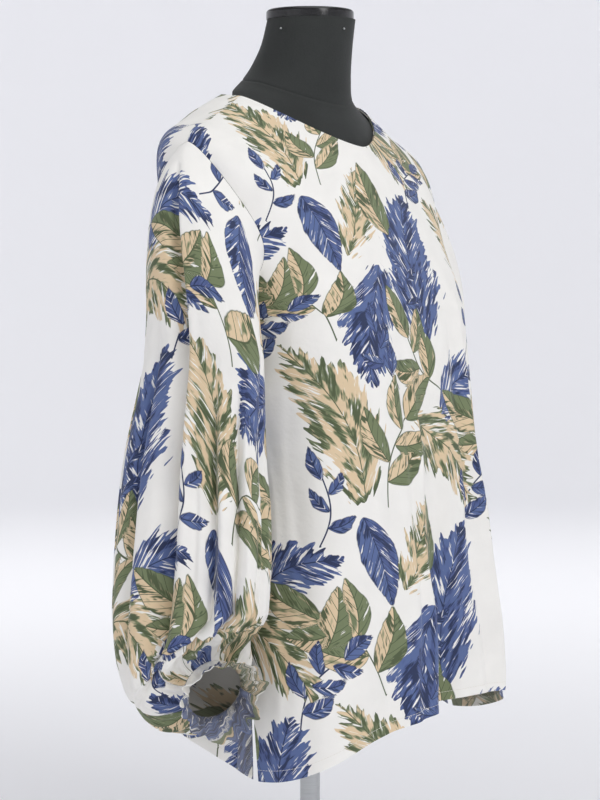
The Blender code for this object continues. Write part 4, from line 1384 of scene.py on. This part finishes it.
class BLOUSE_OT_sewing(bpy.types.Operator):
    """The open slit allowance, the hem and casing stitches and the overlocked edges"""
    bl_idname = "blouse.sewing"
    bl_label = "Sewing"

    def execute(self, context):
        shell = context.scene.blouse_cloth.shell / MM
        flap = flap_points(panel_points(math.pi, ARMHOLE_BACK))
        places = cut_from_print("slit_allowance", flat_places(flap, FLAP_COLUMNS, 0))
        made = cloth_object("slit_allowance", flap, shell / 2, cloth_faces()[::-1], places, None)
        raised = (flap + grid_normals(flap) * STITCH_RADIUS)[2:]
        threads("slit_overlock", [overlock(raised[:, -1], raised[:, -4], SLIT_PITCH)])

        hem = []
        inside = []
        for middle in (0, math.pi):
            turn = middle + np.linspace(-HEM_REACH, HEM_REACH, HEM_LINE_STEPS) * QUARTER
            hem += stitches(level_line(turn, HEM_STITCH_LEVEL, STITCH_RADIUS))
            low, high = (level_line(turn, level, -shell - STITCH_RADIUS) for level in OVERLOCK_LEVELS)
            inside.append(overlock(low, high, HEM_PITCH))
        threads("hem_stitches", hem)
        threads("hem_overlock", inside)
        turn = np.linspace(-math.pi, math.pi, CASING_LINE_STEPS)
        casing = cuff_circle(turn, CUFF_RADIUS + CASING_LINE_OFF + 0 * turn, CASING_DEPTH + 0 * turn)[0]
        threads("casing_stitches_right", stitches(casing))
        threads("casing_stitches_left", stitches(left_side(casing, 1)))
        return {"FINISHED"}


class BLOUSE_OT_form(bpy.types.Operator):
    """Dress form with its neck cap, pole and base"""
    bl_idname = "blouse.form"
    bl_label = "Dress form"

    def execute(self, context):
        jersey = finish_of(knitted_jersey, "polyester_jersey_knitted")
        gloss = finish_of(moulded_abs, "abs_moulded_glossy")
        steel = finish_of(brushed_steel, "stainless_steel_brushed")
        cap_low = FORM_RINGS[0].side_z + SEAM_GAP
        cap_top = cap_low + CAP_HEIGHT
        cap = [(AXIS_GAP, cap_top), (CAP_RADIUS - CAP_ROUND - CAP_RIM, cap_top)]
        cap += rounded_corner(CAP_RADIUS, cap_top, CAP_ROUND, -1)
        cap += [(CAP_RADIUS, cap_low), (AXIS_GAP, cap_low)]
        pole_top = FORM_RINGS[-1].side_z - SEAM_GAP
        pole_low = BASE_HEIGHT + SEAM_GAP
        collar = pole_low + SOCKET_HEIGHT
        pole = [(AXIS_GAP, pole_top), (POLE_RADIUS, pole_top), (POLE_RADIUS, collar)]
        pole += rounded_corner(SOCKET_RADIUS, collar, SOCKET_ROUND, -1)
        pole += [(SOCKET_RADIUS, pole_low), (AXIS_GAP, pole_low)]
        plate = [(AXIS_GAP, BASE_HEIGHT)] + rounded_corner(BASE_RADIUS, BASE_HEIGHT, BASE_ROUND, -1)
        plate += [(BASE_RADIUS, 0), (AXIS_GAP, 0)]
        round_object("form_torso_jersey", torso_points(), jersey, "form_torso")
        round_object("form_neck_cap_gloss", turned_points(cap), gloss, "form_neck_cap")
        round_object("form_pole_steel", turned_points(pole), steel, "form_pole")
        round_object("form_base_steel", turned_points(plate), steel, "form_base")

        azimuth = context.scene.blouse_studio.azimuth
        aside, ahead = math.cos(azimuth), math.sin(azimuth)
        for number, (across, height) in enumerate(PINS):
            forward = math.sqrt(PIN_REACH ** 2 - across ** 2)
            place = np.array([across * aside + forward * ahead, across * ahead - forward * aside, height])
            round_object("neck_pin_%d" % number, turned_points(PIN_HEAD) + place, steel)
        return {"FINISHED"}


class BLOUSE_OT_studio(bpy.types.Operator):
    """Pale floor and cove, soft lights and the camera"""
    bl_idname = "blouse.studio"
    bl_label = "Studio"

    def execute(self, context):
        settings = context.scene.blouse_studio
        cove = rounded_corner(STUDIO_RADIUS, 0.0, COVE_RADIUS, 1, COVE_STEPS)
        rings = turned_points([(FLOOR_RADIUS, 0.0)] + cove + [(STUDIO_RADIUS, STUDIO_HEIGHT)])
        # The faces look up and inwards, and the last one is the floor's middle.
        faces = ring_faces(rings)[:, [0, 3, 2, 1]].tolist() + [list(range(TURNED_STEPS))[::-1]]
        wall = finish_of(painted_wall, "matt_emulsion_painted")
        mesh = smooth_mesh("studio_floor", rings.reshape(-1, 3), faces, [wall])
        floor = bpy.data.objects.new("studio_floor", mesh)
        context.scene.collection.objects.link(floor)

        world = bpy.data.worlds.new("room")
        world.use_nodes = True
        background = world.node_tree.nodes["Background"]
        background.inputs["Color"].default_value = linear("F2F3F7")
        background.inputs["Strength"].default_value = settings.world_power
        context.scene.world = world
        context.scene.view_settings.view_transform = "Standard"
        lights = [(light, getattr(settings, light.name + "_power")) for light in LIGHTS]
        for number in range(WASH_LIGHTS):
            turn = 2 * math.pi * number / WASH_LIGHTS
            place = (WASH_RADIUS * math.cos(turn), WASH_RADIUS * math.sin(turn), WASH_HEIGHT)
            aim = (WASH_AIM * math.cos(turn), WASH_AIM * math.sin(turn), WASH_AIM_HEIGHT)
            lights.append((Light("wash_%d" % number, WASH_SIZE, place, aim), settings.wash_power))
        for light, power in lights:
            lamp = bpy.data.lights.new(light.name, "AREA")
            lamp.energy = power
            lamp.shape = "DISK"
            lamp.size = light.size
            stand = bpy.data.objects.new(light.name, lamp)
            stand.location = light.place
            toward = Vector(light.aim) - Vector(light.place)
            stand.rotation_euler = toward.to_track_quat("-Z", "Y").to_euler()
            context.scene.collection.objects.link(stand)

        lens = bpy.data.cameras.new("camera")
        lens.sensor_fit = "VERTICAL"
        lens.sensor_height = SENSOR_HEIGHT
        lens.lens = CAMERA_FOCUS / PHOTO_HEIGHT * SENSOR_HEIGHT
        lens.shift_x = CAMERA_SHIFT / PHOTO_HEIGHT
        camera = bpy.data.objects.new("camera", lens)
        turn, distance = settings.azimuth, settings.distance
        camera.location = (math.sin(turn) * distance, -math.cos(turn) * distance, CAMERA_HEIGHT)
        camera.rotation_euler = (QUARTER - CAMERA_DIP, 0, turn)
        context.scene.collection.objects.link(camera)
        context.scene.camera = camera
        return {"FINISHED"}


class BLOUSE_PT_sidebar(bpy.types.Panel):
    """Lists the pieces of the blouse and its settings"""
    bl_label = "Blouse"
    bl_idname = "BLOUSE_PT_sidebar"
    bl_space_type = "VIEW_3D"
    bl_region_type = "UI"
    bl_category = "Blouse"

    def draw(self, context):
        for group in SETTINGS:
            settings = getattr(context.scene, group)
            box = self.layout.box()
            for name in settings.__annotations__:
                box.prop(settings, name)
        for operator in OPERATORS:
            self.layout.operator(operator.bl_idname)


OPERATORS = (BLOUSE_OT_panels, BLOUSE_OT_neck, BLOUSE_OT_sleeves, BLOUSE_OT_cuffs, BLOUSE_OT_sewing,
             BLOUSE_OT_form, BLOUSE_OT_studio)
SETTINGS = {"blouse_cloth": ClothSettings, "blouse_colours": ColourSettings, "blouse_studio": StudioSettings}


def register():
    for name, settings in SETTINGS.items():
        bpy.utils.register_class(settings)
        setattr(bpy.types.Scene, name, PointerProperty(type=settings))
    for operator in OPERATORS:
        bpy.utils.register_class(operator)
    bpy.utils.register_class(BLOUSE_PT_sidebar)


def unregister():
    bpy.utils.unregister_class(BLOUSE_PT_sidebar)
    for operator in reversed(OPERATORS):
        bpy.utils.unregister_class(operator)
    for name, settings in SETTINGS.items():
        delattr(bpy.types.Scene, name)
        bpy.utils.unregister_class(settings)


def main():
    register()
    bpy.ops.blouse.panels()
    bpy.ops.blouse.neck()
    bpy.ops.blouse.sleeves()
    bpy.ops.blouse.cuffs()
    bpy.ops.blouse.sewing()
    bpy.ops.blouse.form()
    bpy.ops.blouse.studio()
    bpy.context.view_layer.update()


if __name__ == "__main__":
    main()
